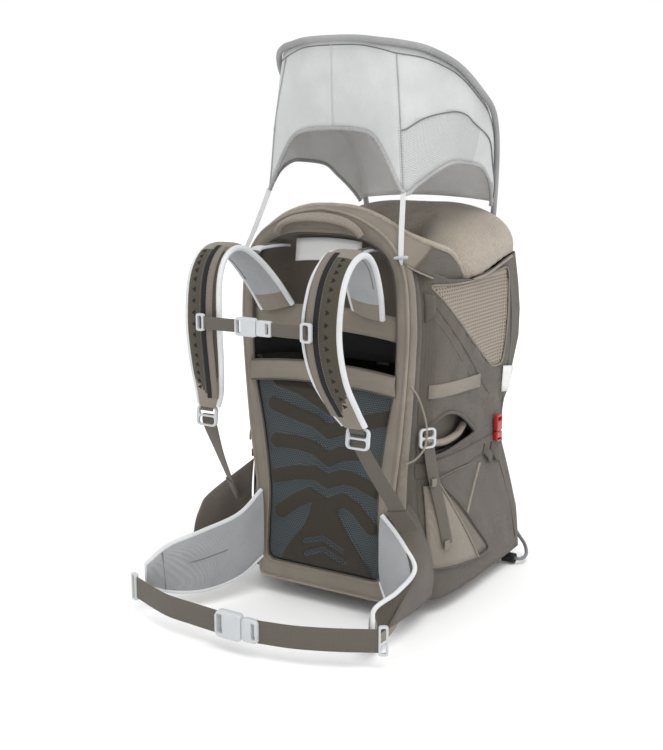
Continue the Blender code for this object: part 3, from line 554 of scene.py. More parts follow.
def round_box(width, height, corner, x=0.0, z=0.0, steps=5):
    """The outline of a rectangle with rounded corners."""
    found = []
    for index, (sx, sz) in enumerate(((1, 1), (-1, 1), (-1, -1), (1, -1))):
        for step in range(steps + 1):
            angle = math.pi / 2 * (index + step / steps)
            found.append((x + sx * (width / 2 - corner) + corner * math.cos(angle),
                          z + sz * (height / 2 - corner) + corner * math.sin(angle)))
    return found


def basis(centre, right, up):
    """A matrix that takes a plate's x to right, its y to up, and its depth to the third way."""
    right = Vector(right).normalized()
    normal = right.cross(Vector(up)).normalized()
    top = normal.cross(right)
    found = Matrix((right, top, normal)).transposed().to_4x4()
    found.translation = centre
    return found


def frames(stations, per_span=6):
    """Centre, side, out and width along a strap through stations of (centre, side, width)."""
    centres = smooth([at(*station[0]) for station in stations], per_span)
    spans = smooth([Vector(station[1]).normalized() for station in stations], per_span)
    widths = smooth([(station[2], 0.0, 0.0) for station in stations], per_span)
    found = []
    for index, centre in enumerate(centres):
        before = centres[max(index - 1, 0)]
        after = centres[min(index + 1, len(centres) - 1)]
        along = (after - before).normalized()
        side = spans[index].normalized()
        found.append((centre, side, along.cross(side).normalized(), widths[index].x))
    return found


def strap(name, line, thickness, materials, body="pack", slot="webbing", nodes=(), shift=0.0, lift=0.0,
          width=None, paint=None, crown=0.0):
    """A flat strap on the frames of a line, moved across and outwards if asked."""
    rings = []
    for centre, side, out, full in line:
        half = (width or full) / 2
        base = centre + side * shift + out * lift
        ring = []
        for share in (-1.0, -0.92, -0.5, 0.0, 0.5, 0.92, 1.0):
            rise = thickness / 2 * (0.35 if abs(share) == 1.0 else 1.0) + crown * (1 - share * share)
            ring.append(base + side * half * share + out * rise)
        for share in (1.0, 0.92, 0.0, -0.92, -1.0):
            drop = thickness / 2 * (0.35 if abs(share) == 1.0 else 1.0)
            ring.append(base + side * half * share - out * drop)
        rings.append(ring)
    return loft(name, rings, materials, body, slot, nodes, paint)


def stitches(name, lines, material, body="pack", slot="taupe_fabric", pitch=0.0042, length=0.0024,
             radius=0.0004):
    """Rows of small sewn threads along lines of (point, outward) pairs."""
    work = bmesh.new()
    for line in lines:
        points = [Vector(point) for point, out in line]
        marks = [0.0]
        for before, after in zip(points, points[1:]):
            marks.append(marks[-1] + (after - before).length)
        where = pitch / 2
        index = 0
        while where + length < marks[-1]:
            while marks[index + 1] < where:
                index += 1
            share = (where - marks[index]) / (marks[index + 1] - marks[index])
            start = points[index].lerp(points[index + 1], share)
            along = (points[index + 1] - points[index]).normalized()
            out = Vector(line[index][1]).normalized()
            side = along.cross(out).normalized() * radius
            top = out * radius
            low, middle, high = ([work.verts.new(start + along * length * way + offset * swell)
                                  for offset in (-side, top, side)]
                                 for way, swell in ((0.0, 1.0), (0.5, 1.3), (1.0, 1.0)))
            for first, second in ((low, middle), (middle, high)):
                work.faces.new((first[0], first[1], second[1], second[0]))
                work.faces.new((first[1], first[2], second[2], second[1]))
            where += pitch
    data = bpy.data.meshes.new(name)
    work.to_mesh(data)
    work.free()
    data.shade_smooth()
    return place(name, data, [material], body, slot)


def is_inside(outline, a, b):
    hit = False
    for (x0, y0), (x1, y1) in zip(outline, outline[1:] + outline[:1]):
        if (y0 > b) != (y1 > b) and a < (x1 - x0) * (b - y0) / (y1 - y0) + x0:
            hit = not hit
    return hit


def nearest_on(outline, a, b):
    """The nearest point of a closed outline, and how far it is."""
    best = (1e9, a, b)
    for (x0, y0), (x1, y1) in zip(outline, outline[1:] + outline[:1]):
        dx, dy = x1 - x0, y1 - y0
        share = max(0.0, min(1.0, ((a - x0) * dx + (b - y0) * dy) / (dx * dx + dy * dy or 1.0)))
        x, y = x0 + dx * share, y0 + dy * share
        best = min(best, (math.hypot(x - a, y - b), x, y))
    return best


# Sunshade

SHADE_HALF = [(0.128, 0.372, 0.604), (0.131, 0.3755, 0.640), (0.138, 0.368, 0.697), (0.149, 0.346, 0.760),
              (0.162, 0.311, 0.806), (0.181, 0.250, 0.838), (0.186, 0.191, 0.866), (0.176, 0.155, 0.893),
              (0.163, 0.125, 0.911), (0.138, 0.087, 0.928), (0.105, 0.054, 0.936), (0.082, 0.042, 0.939),
              (0.055, 0.031, 0.9425), (0.028, 0.026, 0.9438), (0.0, 0.024, 0.944)]
SHADE_HEM = [(0.128, 0.370, 0.630), (0.1315, 0.360, 0.655), (0.1385, 0.350, 0.676), (0.147, 0.327, 0.700),
             (0.154, 0.300, 0.720), (0.157, 0.262, 0.741), (0.158, 0.189, 0.749), (0.1555, 0.150, 0.7485),
             (0.150, 0.109, 0.737), (0.139, 0.068, 0.717), (0.128, 0.041, 0.7045), (0.100, 0.036, 0.757),
             (0.074, 0.036, 0.793), (0.038, 0.0355, 0.803), (0.0, 0.0345, 0.8045)]
SHADE_CORNER = 10           # where the side hem meets the front hem
SHADE_STEPS = 6
SEAM_RISE = [(0.0, 0.42), (0.16, 0.50), (0.45, 0.60), (0.75, 0.44), (1.0, 0.20)]


def shade_side(high, low, share_along, levels=14):
    """Points of one curtain from its hem up to the crease under the hoop."""
    crease = high + (Vector((0.0, at(0, 0.2075, 0).y, high.z - 0.030)) - high).normalized() * 0.0062
    outward = Vector((low.x, low.y - at(0, 0.22, 0).y, 0.0)).normalized()
    found = []
    for step in range(levels + 1):
        share = step / levels
        billow = 0.0035 * math.sin(math.pi * share)
        fold = 0.0016 * math.sin(share_along * 34.0 + share * 5.0) * math.sin(math.pi * share)
        found.append(low.lerp(crease, share) + outward * (billow + fold))
    return found


def build_shade():
    upper = smooth([at(*point) for point in SHADE_HALF], SHADE_STEPS)
    lower = smooth([at(*point) for point in SHADE_HEM], SHADE_STEPS)
    first = 2 * SHADE_STEPS - 2
    levels = 14
    roof_steps = 22
    rows = []
    for index in range(first, len(upper)):
        side = shade_side(upper[index], lower[index], index / len(upper), levels)
        crease = side[-1]
        roof = []
        for step in range(1, roof_steps):
            share = 1 - 2 * step / roof_steps
            rise = 0.008 * (1 - share * share) * min(1.0, crease.x / 0.060)
            roof.append(Vector((crease.x * share, crease.y, crease.z + rise)))
        rows.append(side + roof + [Vector((-p.x, p.y, p.z)) for p in reversed(side)])
    corner = SHADE_CORNER * SHADE_STEPS - first
    columns = len(rows[0]) - 1

    def seam_level(j):
        """How far up the curtain its seam runs in this row."""
        if j > corner:
            return 0.0
        return look_up(SEAM_RISE, 1.0 - j / corner)[0]

    def paint(mid, i, j):
        level = min(i, columns - 1 - i)
        if level >= levels:
            return 0
        under = (level + 0.5) / levels < seam_level(j)
        return 1 if under and j > corner * 0.45 else 0

    # Its inner faces take the lighter inside cloth, painted light for the sun shining through.
    surface("shade_cloth_main", rows, ["shade", "shade_mesh", "shade_inner_backlit", "shade_inner_backlit"], "sunshade",
            "shade_fabric", ["shade_canopy"], thickness=0.0012, paint=paint, inner=2,
            centre=at(0.0, 0.190, 0.800))
    hoop = mirrored([tuple(p) for p in upper])
    tube("shade_rim", [Vector(p) for p in hoop], 0.0052, "shade_rim", "sunshade", "shade_fabric",
         ["shade_hoop"], sides=5)
    for side, sign in SIDES.items():
        flip = lambda points: [Vector((p.x * sign, p.y, p.z)) for p in points]
        seam = []
        for j in range(0, corner + 1):
            level = seam_level(j) * levels
            row = rows[j]
            low = int(level)
            seam.append(row[low].lerp(row[low + 1], level - low) + Vector((0.0012, 0.0, 0.0)))
        tube(f"shade_seam_{side}", flip(seam), 0.0011, "seam", "sunshade", "shade_fabric", sides=2)
        edge = [row[0] for row in rows[:corner + 1]]
        gathered(f"shade_hem_{side}", flip(evenly(edge, 150)), 0.0032, "shade_hem", "sunshade")
        ridge = [row[levels - 1] + Vector((0.0010, 0.0, 0.001)) for row in rows]
        tube(f"shade_rim_seam_{side}", flip(ridge), 0.0008, "seam", "sunshade", "shade_fabric", sides=2)
        leg = [row[2] + (row[1] - row[2]) * 0.2 for row in rows[:10]]
        tube(f"shade_leg_seam_{side}", flip(leg), 0.0008, "seam", "sunshade", "shade_fabric", sides=2)
        corner_seam = [rows[corner][level] + Vector((0.0008, -0.0010, 0.0)) for level in range(levels)]
        tube(f"shade_corner_seam_{side}", flip(corner_seam), 0.0009, "shade_hem", "sunshade",
             "shade_fabric", sides=2)
    front = [row[0] for row in rows[corner:]]
    full = front + [Vector((-p.x, p.y, p.z)) for p in reversed(front[:-1])]
    gathered("shade_hem_front", evenly(full, 200), 0.0036, "shade_hem", "sunshade")
    for side, sign in SIDES.items():
        line = frames([((sign * 0.1280, 0.0400, 0.7060), (1, 0.5, 0), 0.0085),
                       ((sign * 0.133, 0.0285, 0.6780), (1, 0.5, 0), 0.0085),
                       ((sign * 0.1405, 0.012, 0.6390), (1, 0.5, 0), 0.0085),
                       ((sign * 0.148, -0.002, 0.6075), (1, 0.5, 0), 0.0075),
                       ((sign * 0.1500, -0.003, 0.5960), (1, 0.5, 0), 0.0020)], 5)
        strap(f"shade_tape_{side}", line, 0.0015, ["web_pale"], "sunshade", "pale_webbing",
              [f"shade_strap_{side}"])
        toggle = at(sign * 0.149, -0.0045, 0.6075)
        along = Vector((math.cos(0.15), -math.sin(0.15) * sign, 0.12 * sign))
        rod(f"shade_rod_{side}", toggle, along, 0.029, 0.0027, "plastic", "sunshade", "pale_plastic",
            [f"shade_toggle_{side}"])


def gathered(name, points, radius, material, body, slot="shade_fabric", swell=0.16, count=0.0075):
    """An elastic binding, whose cloth is gathered into small ribs."""
    rings = []
    travelled = 0.0
    for index, point in enumerate(points):
        before = points[max(index - 1, 0)]
        after = points[min(index + 1, len(points) - 1)]
        travelled += (point - before).length
        along = (after - before).normalized()
        side = along.cross(UP if abs(along.z) < 0.9 else Vector((1, 0, 0))).normalized()
        other = side.cross(along)
        size = radius * (1.0 + swell * math.sin(math.tau * travelled / count))
        rings.append([point + (side * math.cos(turn) + other * math.sin(turn)) * size
                      for turn in [math.tau * step / 10 for step in range(10)]])
    return loft(name, rings, [material], body, slot)


def rod(name, centre, along, length, radius, material, body, slot, nodes=()):
    """A short bar with rounded ends."""
    along = Vector(along).normalized()
    side = along.cross(UP).normalized()
    other = side.cross(along)
    rings = []
    for step in range(13):
        share = -1 + 2 * step / 12
        size = radius * math.sqrt(max(0.02, 1 - abs(share) ** 8))
        rings.append([centre + along * length / 2 * share
                      + (side * math.cos(turn) + other * math.sin(turn)) * size
                      for turn in [math.tau * index / 14 for index in range(14)]])
    return loft(name, rings, [material], body, slot, nodes)


# Harness

def shoulder_stations(sign):
    return [((sign * 0.088, 0.001, 0.513), (0.96, sign * -0.10, sign * -0.20), 0.064),
            ((sign * 0.097, -0.028, 0.556), (0.98, 0.0, sign * -0.12), 0.066),
            ((sign * 0.107, -0.064, 0.597), (1, 0, 0), 0.066),
            ((sign * 0.114, -0.100, 0.619), (1, 0, 0), 0.062),
            ((sign * 0.115, -0.137, 0.609), (1, 0, 0), 0.060),
            ((sign * 0.112, -0.163, 0.572), (1, 0, 0), 0.064),
            ((sign * 0.109, -0.172, 0.505), (1, 0, 0), 0.068),
            ((sign * 0.114, -0.160, 0.440), (1, 0, 0), 0.064),
            ((sign * 0.127, -0.138, 0.390), (1, 0, 0), 0.054),
            ((sign * 0.138, -0.125, 0.363), (1, 0, 0), 0.044)]


STRAP_COLUMNS = 14


def build_shoulder(side, sign):
    line = frames(shoulder_stations(sign), 8)
    count = len(line)
    rings = []
    for centre, across, out, width in line:
        half = width / 2 - 0.0035
        ring = []
        for step in range(STRAP_COLUMNS + 1):
            share = -1 + 2 * step / STRAP_COLUMNS
            ring.append(centre + across * half * share + out * (0.0028 + 0.0052 * (1 - share ** 4)))
        for step in range(STRAP_COLUMNS + 1):
            share = 1 - 2 * step / STRAP_COLUMNS
            groove = 0.0018 * math.exp(-((abs(share) - 0.62) / 0.05) ** 2)
            ring.append(centre + across * half * share - out * (0.0028 + 0.0052 * (1 - share ** 4) - groove))
        rings.append(ring)

    def paint(i, j):
        share = j / count
        if i < STRAP_COLUMNS:
            aside = abs(-1 + 2 * (i + 0.5) / STRAP_COLUMNS)
            return 1 if share > 0.87 - 0.07 * aside or 0.30 < share < 0.42 else 0
        return 3 if share < 0.06 else 2

    pad = loft(f"shoulder_pad_{side}", rings, ["strap_mesh", "taupe", "strap_grey", "taupe"], "harness",
               "dark_mesh", [f"shoulder_strap_{side}"], paint)
    for edge, way in (("inner", -sign), ("outer", sign)):
        path = [centre + across * way * (width / 2 - 0.0035) for centre, across, out, width in line]
        tube(f"shoulder_piping_{edge}_{side}", path, 0.0048, "piping", "harness", "grey_fabric")
    used = line[int(count * 0.40):int(count * 0.93)]
    strap(f"shoulder_rail_{side}", used, 0.0014, ["rail"], "harness", "webbing", (), -sign * 0.0165, 0.0078,
          0.0125)
    strap(f"shoulder_channel_{side}", used, 0.0012, ["black"], "harness", "dark_mesh", (), -sign * 0.0058,
          0.0080, 0.0085)
    perforations = []
    for index in range(int(count * 0.44), int(count * 0.88), 2):
        centre, across, out, width = line[index]
        perforations.append((centre + across * sign * 0.0125 + out * 0.0081, across * sign, out))
    punched(f"shoulder_holes_{side}", perforations, "black", "harness")
    for name, place_x in (("a", -0.0215), ("b", -0.0115), ("c", 0.0005)):
        thread = [(centre + across * sign * place_x + out * 0.0088, out)
                  for centre, across, out, width in used]
        stitches(f"shoulder_thread_{name}_{side}", [thread], "seam", "harness", "dark_mesh")
    lining = [centre - out * 0.0066 + across * sign * (width / 2 - 0.0105) for centre, across, out, width
              in line[int(count * 0.14):int(count * 0.9)]]
    tube(f"shoulder_lining_seam_{side}", lining, 0.0007, "seam", "harness", "grey_fabric", sides=2)


def punched(name, places, material, body):
    """Small triangular holes, drawn as dark recessed chips."""
    work = bmesh.new()
    for point, across, out in places:
        along = out.cross(across).normalized()
        corners = [point + across * 0.0042, point - across * 0.0022 + along * 0.0040,
                   point - across * 0.0022 - along * 0.0040]
        top = [work.verts.new(corner + out * 0.0003) for corner in corners]
        low = [work.verts.new(corner - out * 0.0012) for corner in corners]
        work.faces.new(top)
        for index in range(3):
            after = (index + 1) % 3
            work.faces.new((top[index], top[after], low[after], low[index]))
    bmesh.ops.recalc_face_normals(work, faces=work.faces)
    data = bpy.data.meshes.new(name)
    work.to_mesh(data)
    work.free()
    return place(name, data, [material], body, "dark_mesh")


def ladder(name, centre, right, up, width, height, body, nodes, bars=1, depth=0.0055):
    """A ladder lock: a rounded plastic frame with bars across it."""
    outline = [round_box(width, height, min(width, height) * 0.24)]
    open_width = width - min(0.0095, width * 0.46)
    open_height = (height - 0.0034 * (bars + 2)) / (bars + 1)
    corner = min(open_width, open_height) * 0.35
    for index in range(bars + 1):
        middle = -height / 2 + 0.0034 + open_height / 2 + index * (open_height + 0.0034)
        outline.append(list(reversed(round_box(open_width, open_height, corner, 0.0, middle))))
    return plate(name, outline, depth, "plastic", basis(centre, right, up), body, "pale_plastic", nodes,
                 0.0009)


def build_harness():
    for side, sign in SIDES.items():
        build_shoulder(side, sign)
        ladder(f"shoulder_buckle_{side}", at(sign * 0.1435, -0.1235, 0.343), (1, 0, 0), (0, 0.12, 1), 0.041,
               0.034, f"shoulder_lock_{side}", [f"shoulder_lock_{side}"])
        stub = frames([((sign * 0.1380, -0.1290, 0.372), (1, 0, 0), 0.026),
                       ((sign * 0.1410, -0.1270, 0.361), (1, 0, 0), 0.026),
                       ((sign * 0.1430, -0.1255, 0.352), (1, 0, 0), 0.026)], 3)
        strap(f"shoulder_stub_{side}", stub, 0.002, ["web"], "harness", "webbing", ())
        line = frames([((sign * 0.1437, -0.1180, 0.345), (1, 0.1, 0), 0.024),
                       ((sign * 0.1450, -0.1150, 0.327), (1, 0.1, 0), 0.027),
                       ((sign * 0.1540, -0.082, 0.275), (0.9, sign * 0.3, 0), 0.027),
                       ((sign * 0.1640, -0.042, 0.218), (0.8, sign * 0.5, 0), 0.027),
                       ((sign * 0.1700, -0.016, 0.178), (0.7, sign * 0.6, 0), 0.027)], 6)
        tape = strap(f"shoulder_tape_{side}", line, 0.0018, ["web"], None, "webbing",
                     [f"shoulder_web_{side}"])
        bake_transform(tape)
        fold = frames([((sign * 0.1655, -0.0370, 0.2085), (0.8, sign * 0.5, 0), 0.033),
                       ((sign * 0.1688, -0.0215, 0.1870), (0.75, sign * 0.55, 0), 0.035),
                       ((sign * 0.1712, -0.0110, 0.1700), (0.7, sign * 0.6, 0), 0.036)], 4)
        strap(f"shoulder_anchor_{side}", fold, 0.0042, ["taupe_dark"], "pack", "taupe_fabric", ())
        hook = frames([((sign * 0.086, 0.028, 0.613), (1, 0, 0), 0.016),
                       ((sign * 0.087, -0.004, 0.6155), (1, 0, 0), 0.018),
                       ((sign * 0.092, -0.044, 0.614), (1, 0, 0), 0.020),
                       ((sign * 0.094, -0.054, 0.609), (1, 0, 0), 0.021)], 5)
        strap(f"lifter_plate_{side}", hook, 0.0042, ["plastic"], "pack", "pale_plastic",
              [f"lifter_hook_{side}"], crown=0.0008)
        insert = frames([((sign * 0.0870, 0.0050, 0.6185), (1, 0, 0), 0.011),
                         ((sign * 0.0890, -0.0180, 0.6190), (1, 0, 0), 0.012),
                         ((sign * 0.0910, -0.0360, 0.6175), (1, 0, 0), 0.012)], 3)
        strap(f"lifter_web_{side}", insert, 0.0012, ["web_dark"], "pack", "webbing", ())


# Front of the pack

# Outline of the fabric front and of its opening, as (x, z), from the middle of the bottom up
FRONT_OUTER = [(0.0, 0.031), (0.060, 0.031), (0.100, 0.031), (0.122, 0.033), (0.130, 0.046), (0.129, 0.120),
               (0.134, 0.200), (0.147, 0.310), (0.156, 0.420), (0.159, 0.490), (0.155, 0.560), (0.144, 0.600),
               (0.122, 0.632), (0.088, 0.655), (0.050, 0.670), (0.0, 0.678)]
FRONT_INNER = [(0.0, 0.064), (0.060, 0.064), (0.098, 0.064), (0.108, 0.068), (0.1135, 0.078), (0.111, 0.130),
               (0.108, 0.200), (0.119, 0.300), (0.136, 0.395), (0.140, 0.480), (0.137, 0.552), (0.129, 0.590),
               (0.112, 0.614), (0.080, 0.630), (0.045, 0.637), (0.0, 0.638)]
RIBS = [[(-0.089, 0.388), (-0.044, 0.378), (-0.008, 0.362), (0.013, 0.351)],
        [(-0.098, 0.344), (-0.053, 0.333), (-0.014, 0.325), (0.012, 0.309), (0.045, 0.323), (0.090, 0.336),
         (0.125, 0.346)],
        [(-0.094, 0.280), (-0.054, 0.283), (-0.017, 0.278), (0.012, 0.261), (0.036, 0.275), (0.076, 0.281)],
        [(-0.096, 0.217), (-0.054, 0.229), (-0.014, 0.234), (0.010, 0.223), (0.039, 0.235), (0.065, 0.233),
         (0.105, 0.219)],
        [(-0.086, 0.155), (-0.054, 0.179), (-0.024, 0.195), (0.010, 0.180), (0.042, 0.196), (0.065, 0.184),
         (0.094, 0.155)]]
RIB_HALF = 0.0125
TRUNK = [(0.062, -0.088, 0.100), (0.085, -0.078, 0.090), (0.107, -0.064, 0.072), (0.123, -0.050, 0.060),
         (0.136, -0.039, 0.050), (0.160, -0.028, 0.036), (0.185, -0.020, 0.028)]
SLOTS = [[(-0.035, 0.110), (0.0, 0.121), (0.038, 0.105)], [(-0.033, 0.087), (0.0, 0.101), (0.042, 0.085)]]


def line_distance(line, x, z):
    best = 1e9
    for (x0, z0), (x1, z1) in zip(line, line[1:]):
        dx, dz = x1 - x0, z1 - z0
        share = max(0.0, min(1.0, ((x - x0) * dx + (z - z0) * dz) / (dx * dx + dz * dz)))
        best = min(best, math.hypot(x - x0 - dx * share, z - z0 - dz * share))
    return best


def rib_height(x, z):
    """0 on the mesh between the ribs, 1 on top of a rib."""
    away = min(line_distance(rib, x, z) for rib in RIBS) - RIB_HALF
    low, high = look_up(TRUNK, z)
    if z < 0.190:
        away = min(away, max(low - x, x - high))
    away = max(away, 0.0045 - min(line_distance(slot, x, z) for slot in SLOTS))
    return max(0.0, min(1.0, 0.5 - away / 0.006))


def half_width(outline, z):
    rows = sorted((height, x) for x, height in outline[3:])
    return look_up(rows, z)[0]


def build_panel():
    columns, levels = 96, 130
    rows = []
    paints = []
    for level in range(levels + 1):
        z = 0.0655 + (0.388 - 0.0655) * level / levels
        half = half_width(FRONT_INNER, z) - 0.0012
        row = []
        for column in range(columns + 1):
            share = -1 + 2 * column / columns
            x = half * share
            rise = rib_height(x, z)
            paints.append(rise)
            edge = min(1.0, (1 - abs(share)) / 0.06) * min(1.0, level / 4, (levels - level) / 4)
            belly = 0.0015 * math.cos(share * math.pi / 2)
            row.append(at(x, 0.0065 - (0.0055 * rise ** 0.7 + belly) * edge, z))
        rows.append(row)
    item = surface("panel_cloth", rows, ["panel"], "pack", "dark_mesh", ["back_panel"], thickness=0.003,
                   centre=at(0, 0.3, 0.2))
    layer = item.data.color_attributes.new("rib", "FLOAT_COLOR", "POINT")
    for index, value in enumerate(paints):
        layer.data[index].color = (value, value, value, 1.0)


def ring_band(outer, inner, steps, crown, front, per_span=5):
    """Rows from the outer outline to the inner one, both closed, with a padded crown."""
    def full(outline):
        half = smooth([(x, 0.0, z) for x, z in outline], per_span)
        other = [Vector((-p.x, p.y, p.z)) for p in reversed(half[1:-1])]
        return half + other
    rows = []
    out, hole = full(outer), full(inner)
    for step in range(steps + 1):
        share = step / steps
        rise = crown * math.sin(math.pi * share) ** 0.6 if 0 < share < 1 else 0.0
        rows.append([at(a.x + (b.x - a.x) * share, front - rise, a.z + (b.z - a.z) * share)
                     for a, b in zip(out, hole)])
    return rows


def build_front():
    rows = ring_band(FRONT_OUTER, FRONT_INNER, 10, 0.0035, 0.0032)
    cover = surface("front_border", rows, ["taupe", "taupe"], "pack", "beige_fabric", ["front_cover"],
                    wrap=True, thickness=0.006, centre=at(0, 0.4, 0.35))
    outer = [p.copy() for p in rows[0]]
    tube("front_piping", outer, 0.0028, "piping_beige", closed=True)
    tube("panel_piping", rows[-1], 0.0016, "taupe_dark", closed=True, sides=2)
    lines = [[(p + Vector((0, -0.0003, 0)), Vector((0, -1, 0))) for p in rows[index]] for index in (2, 8)]
    stitches("front_stitches", lines, "seam")
    band_rows = []
    for level in range(7):
        share = level / 6
        row = []
        for column in range(41):
            across = -1 + 2 * column / 40
            x = 0.1400 * across
            low = 0.3830 + 0.010 * (1 - across * across)
            z = low + 0.0345 * share
            y = -0.0030 - 0.0030 * math.sin(math.pi * share) - 0.0012 * (1 - across * across)
            row.append(at(x, y, z))
        band_rows.append(row)
    band = surface("cross_band_cloth", band_rows, ["taupe"], "pack", "beige_fabric", ["cross_band"],
                   thickness=0.003, centre=at(0, 0.3, 0.4))
    for index in (0, -1):
        tube(f"cross_band_edge_{abs(index)}", band_rows[index], 0.0014, "taupe_dark", sides=2)


def build_recess():
    """The lining behind the harness, black at its foot, with the yoke's cover and the blank label."""
    rows = []
    for level in range(15):
        z = 0.424 + (0.634 - 0.424) * level / 14
        half = half_width(FRONT_INNER, min(z, 0.632)) + 0.003
        row = []
        for column in range(41):
            share = -1 + 2 * column / 40
            depth = 0.056 * min(1.0, (1 - abs(share) ** 4) * 1.3) * min(1.0, (0.640 - z) / 0.05 + 0.18)
            row.append(at(half * share, 0.009 + max(0.0, depth), z))
        rows.append(row)

    def paint(mid, i, j):
        return 1 if j < 4 else 0

    lining = surface("recess_cloth", rows, ["deep", "black"], "pack", "beige_fabric", ["recess_lining"],
                     thickness=0.0015, centre=at(0, 0.4, 0.53), paint=paint)
    band = []
    for level in range(5):
        z = 0.470 + 0.040 * level / 4
        band.append([at(0.138 * (-1 + column / 15), 0.0095 - 0.001 * math.sin(math.pi * level / 4), z
                        + 0.010 * (1 - (-1 + column / 15) ** 2)) for column in range(31)])
    yoke = surface("yoke_cover", band, ["taupe"], "harness", "base_plastic", ["harness_yoke"],
                   thickness=0.002, centre=at(0, 0.3, 0.45))
    rows = []
    for level in range(5):
        v = level / 4
        rows.append([at(-0.062 + 0.126 * column / 10, 0.0175 + 0.004 * v,
                        0.589 + 0.037 * v + 0.004 * (1 - (column / 5 - 1) ** 2)) for column in range(11)])
    label = surface("blank_label", rows, ["tag"], "pack", "pale_webbing", (), thickness=0.0006,
                    centre=at(0, 0.3, 0.6))


RIM = [(0.0, 0.0330, 0.681), (0.045, 0.0340, 0.678), (0.090, 0.0370, 0.664), (0.128, 0.044, 0.642),
       (0.150, 0.062, 0.6295), (0.160, 0.095, 0.6185), (0.164, 0.135, 0.606), (0.164, 0.166, 0.586),
       (0.163, 0.182, 0.567)]
RIM_FOOT = [(0.0, 0.0050, 0.677), (0.050, 0.0050, 0.6695), (0.0885, 0.0050, 0.6545), (0.1225, 0.0055, 0.631),
            (0.1450, 0.0070, 0.600), (0.1600, 0.0280, 0.584), (0.1680, 0.081, 0.566), (0.1700, 0.130, 0.555),
            (0.1660, 0.176, 0.552)]


def build_collar():
    """The padded rim round the front of the cockpit and its two rounded end flaps."""
    highs = smooth([at(*point) for point in RIM], 6)
    lows = smooth([at(*point) for point in RIM_FOOT], 6)
    rows = []
    for high, low in zip(highs, lows):
        out = Vector((high.x * 0.6, high.y - at(0, 0.14, 0).y, 0.06)).normalized()
        rows.append([low.lerp(high, step / 10) + out * 0.0050 * math.sin(math.pi * step / 10)
                     for step in range(11)])
    seam = 29
    count = len(rows)

    def paint(mid, i, j):
        return 1 if abs(j + 0.5 - (count - 1)) > seam else 0

    other = [[Vector((-p.x, p.y, p.z)) for p in row] for row in reversed(rows[1:])]
    collar = surface("collar_cloth", other + rows, ["taupe", "dark_rip", "knit", "knit"], "pack",
                     "taupe_fabric", ["front_collar"], thickness=0.0045, centre=at(0, 0.2, 0.6), inner=2,
                     paint=paint)
    rim = [Vector((-p.x, p.y, p.z)) for p in reversed(highs[1:])] + highs
    tube("collar_piping", rim, 0.0052, "knit", "pack", "beige_fabric", sides=5)
    for side, sign in SIDES.items():
        path = [Vector((p.x * sign, p.y, p.z)) + Vector((0.0006 * sign, -0.0006, 0.0006)) for p in rows[seam]]
        tube(f"flap_seam_{side}", path, 0.0009, "deep", sides=2)
        edge = [Vector((p.x * sign, p.y, p.z)) for p in lows[26:]]
        tube(f"flap_edge_{side}", edge, 0.0016, "piping_beige", "pack", "beige_fabric", sides=3)
    build_gusset()


def build_gusset():
    """The side strip that joins the fabric front to the bags on each side."""
    for side, sign in SIDES.items():
        rows = []
        for level in range(61):
            z = 0.040 + (0.604 - 0.040) * level / 60
            front = half_width(FRONT_OUTER, z) - 0.0005
            plan = LOWER_PLAN if z < SEAM_HEIGHT else UPPER_PLAN
            near = look_up(plan, z)[0] + 0.0012
            row = []
            for step in range(9):
                share = step / 8
                swell = 0.0045 * math.sin(math.pi * min(1.0, share * 2)) + 0.004 * math.sin(math.pi * share)
                pinch = 0.0050 * math.exp(-((share - 0.52) / 0.09) ** 2)
                row.append(at(sign * (front + (near - front) * share + swell - pinch),
                              0.0070 + 0.0410 * share, z))
            rows.append(row)
        strip = surface(f"side_strip_{side}", rows, ["taupe", "taupe_rip"], "pack", "taupe_fabric", (),
                        thickness=0.0018, centre=at(0, 0.1, 0.3), paint=lambda mid, i, j: 0 if i < 4 else 1)
        line = [row[4] + Vector((sign * 0.0004, 0, 0)) for row in rows[22:58]]
        tube(f"side_gap_{side}", line, 0.0016, "deep", sides=3)


def build_handle():
    half = [((0.0, -0.0145, 0.666), (0, 1, 0.5), 0.024), ((0.045, -0.0135, 0.661), (0, 1, 0.5), 0.022),
            ((0.070, -0.0120, 0.650), (0, 1, 0.3), 0.018), ((0.080, -0.0090, 0.637), (0, 1, 0.2), 0.016)]
    other = [((-x, y, z), across, width) for (x, y, z), across, width in reversed(half[1:])]
    line = frames(other + half, 6)
    rings = []
    for centre, side, out, width in line:
        rings.append([centre + side * width / 2 * math.cos(turn) * 0.95 + out * 0.0047 * math.sin(turn)
                      for turn in [math.tau * step / 16 for step in range(16)]])
    grip = loft("handle_grip", rings, ["handle"], "pack", "beige_fabric", ["haul_handle"])


# Bags

LOWER_PLAN = [(0.028, 0.168, 0.198, 0.406), (0.110, 0.166, 0.193, 0.400), (0.180, 0.160, 0.186, 0.376),
              (0.250, 0.152, 0.180, 0.350)]
UPPER_PLAN = [(0.250, 0.152, 0.180, 0.350), (0.300, 0.153, 0.178, 0.354), (0.360, 0.155, 0.179, 0.388),
              (0.430, 0.158, 0.183, 0.412), (0.480, 0.160, 0.183, 0.414), (0.530, 0.158, 0.181, 0.408),
              (0.580, 0.150, 0.178, 0.398), (0.640, 0.142, 0.174, 0.390)]
WINDOW = [(0.066, 0.553), (0.080, 0.557), (0.126, 0.554), (0.209, 0.553), (0.290, 0.560), (0.338, 0.561),
          (0.341, 0.520), (0.335, 0.460), (0.322, 0.398), (0.300, 0.391), (0.276, 0.394), (0.258, 0.405),
          (0.190, 0.451), (0.110, 0.515)]
LEG = [(0.046, 0.298), (0.062, 0.325), (0.102, 0.340), (0.140, 0.335), (0.175, 0.318), (0.212, 0.291),
       (0.205, 0.283), (0.165, 0.279), (0.120, 0.274), (0.080, 0.272), (0.055, 0.277)]


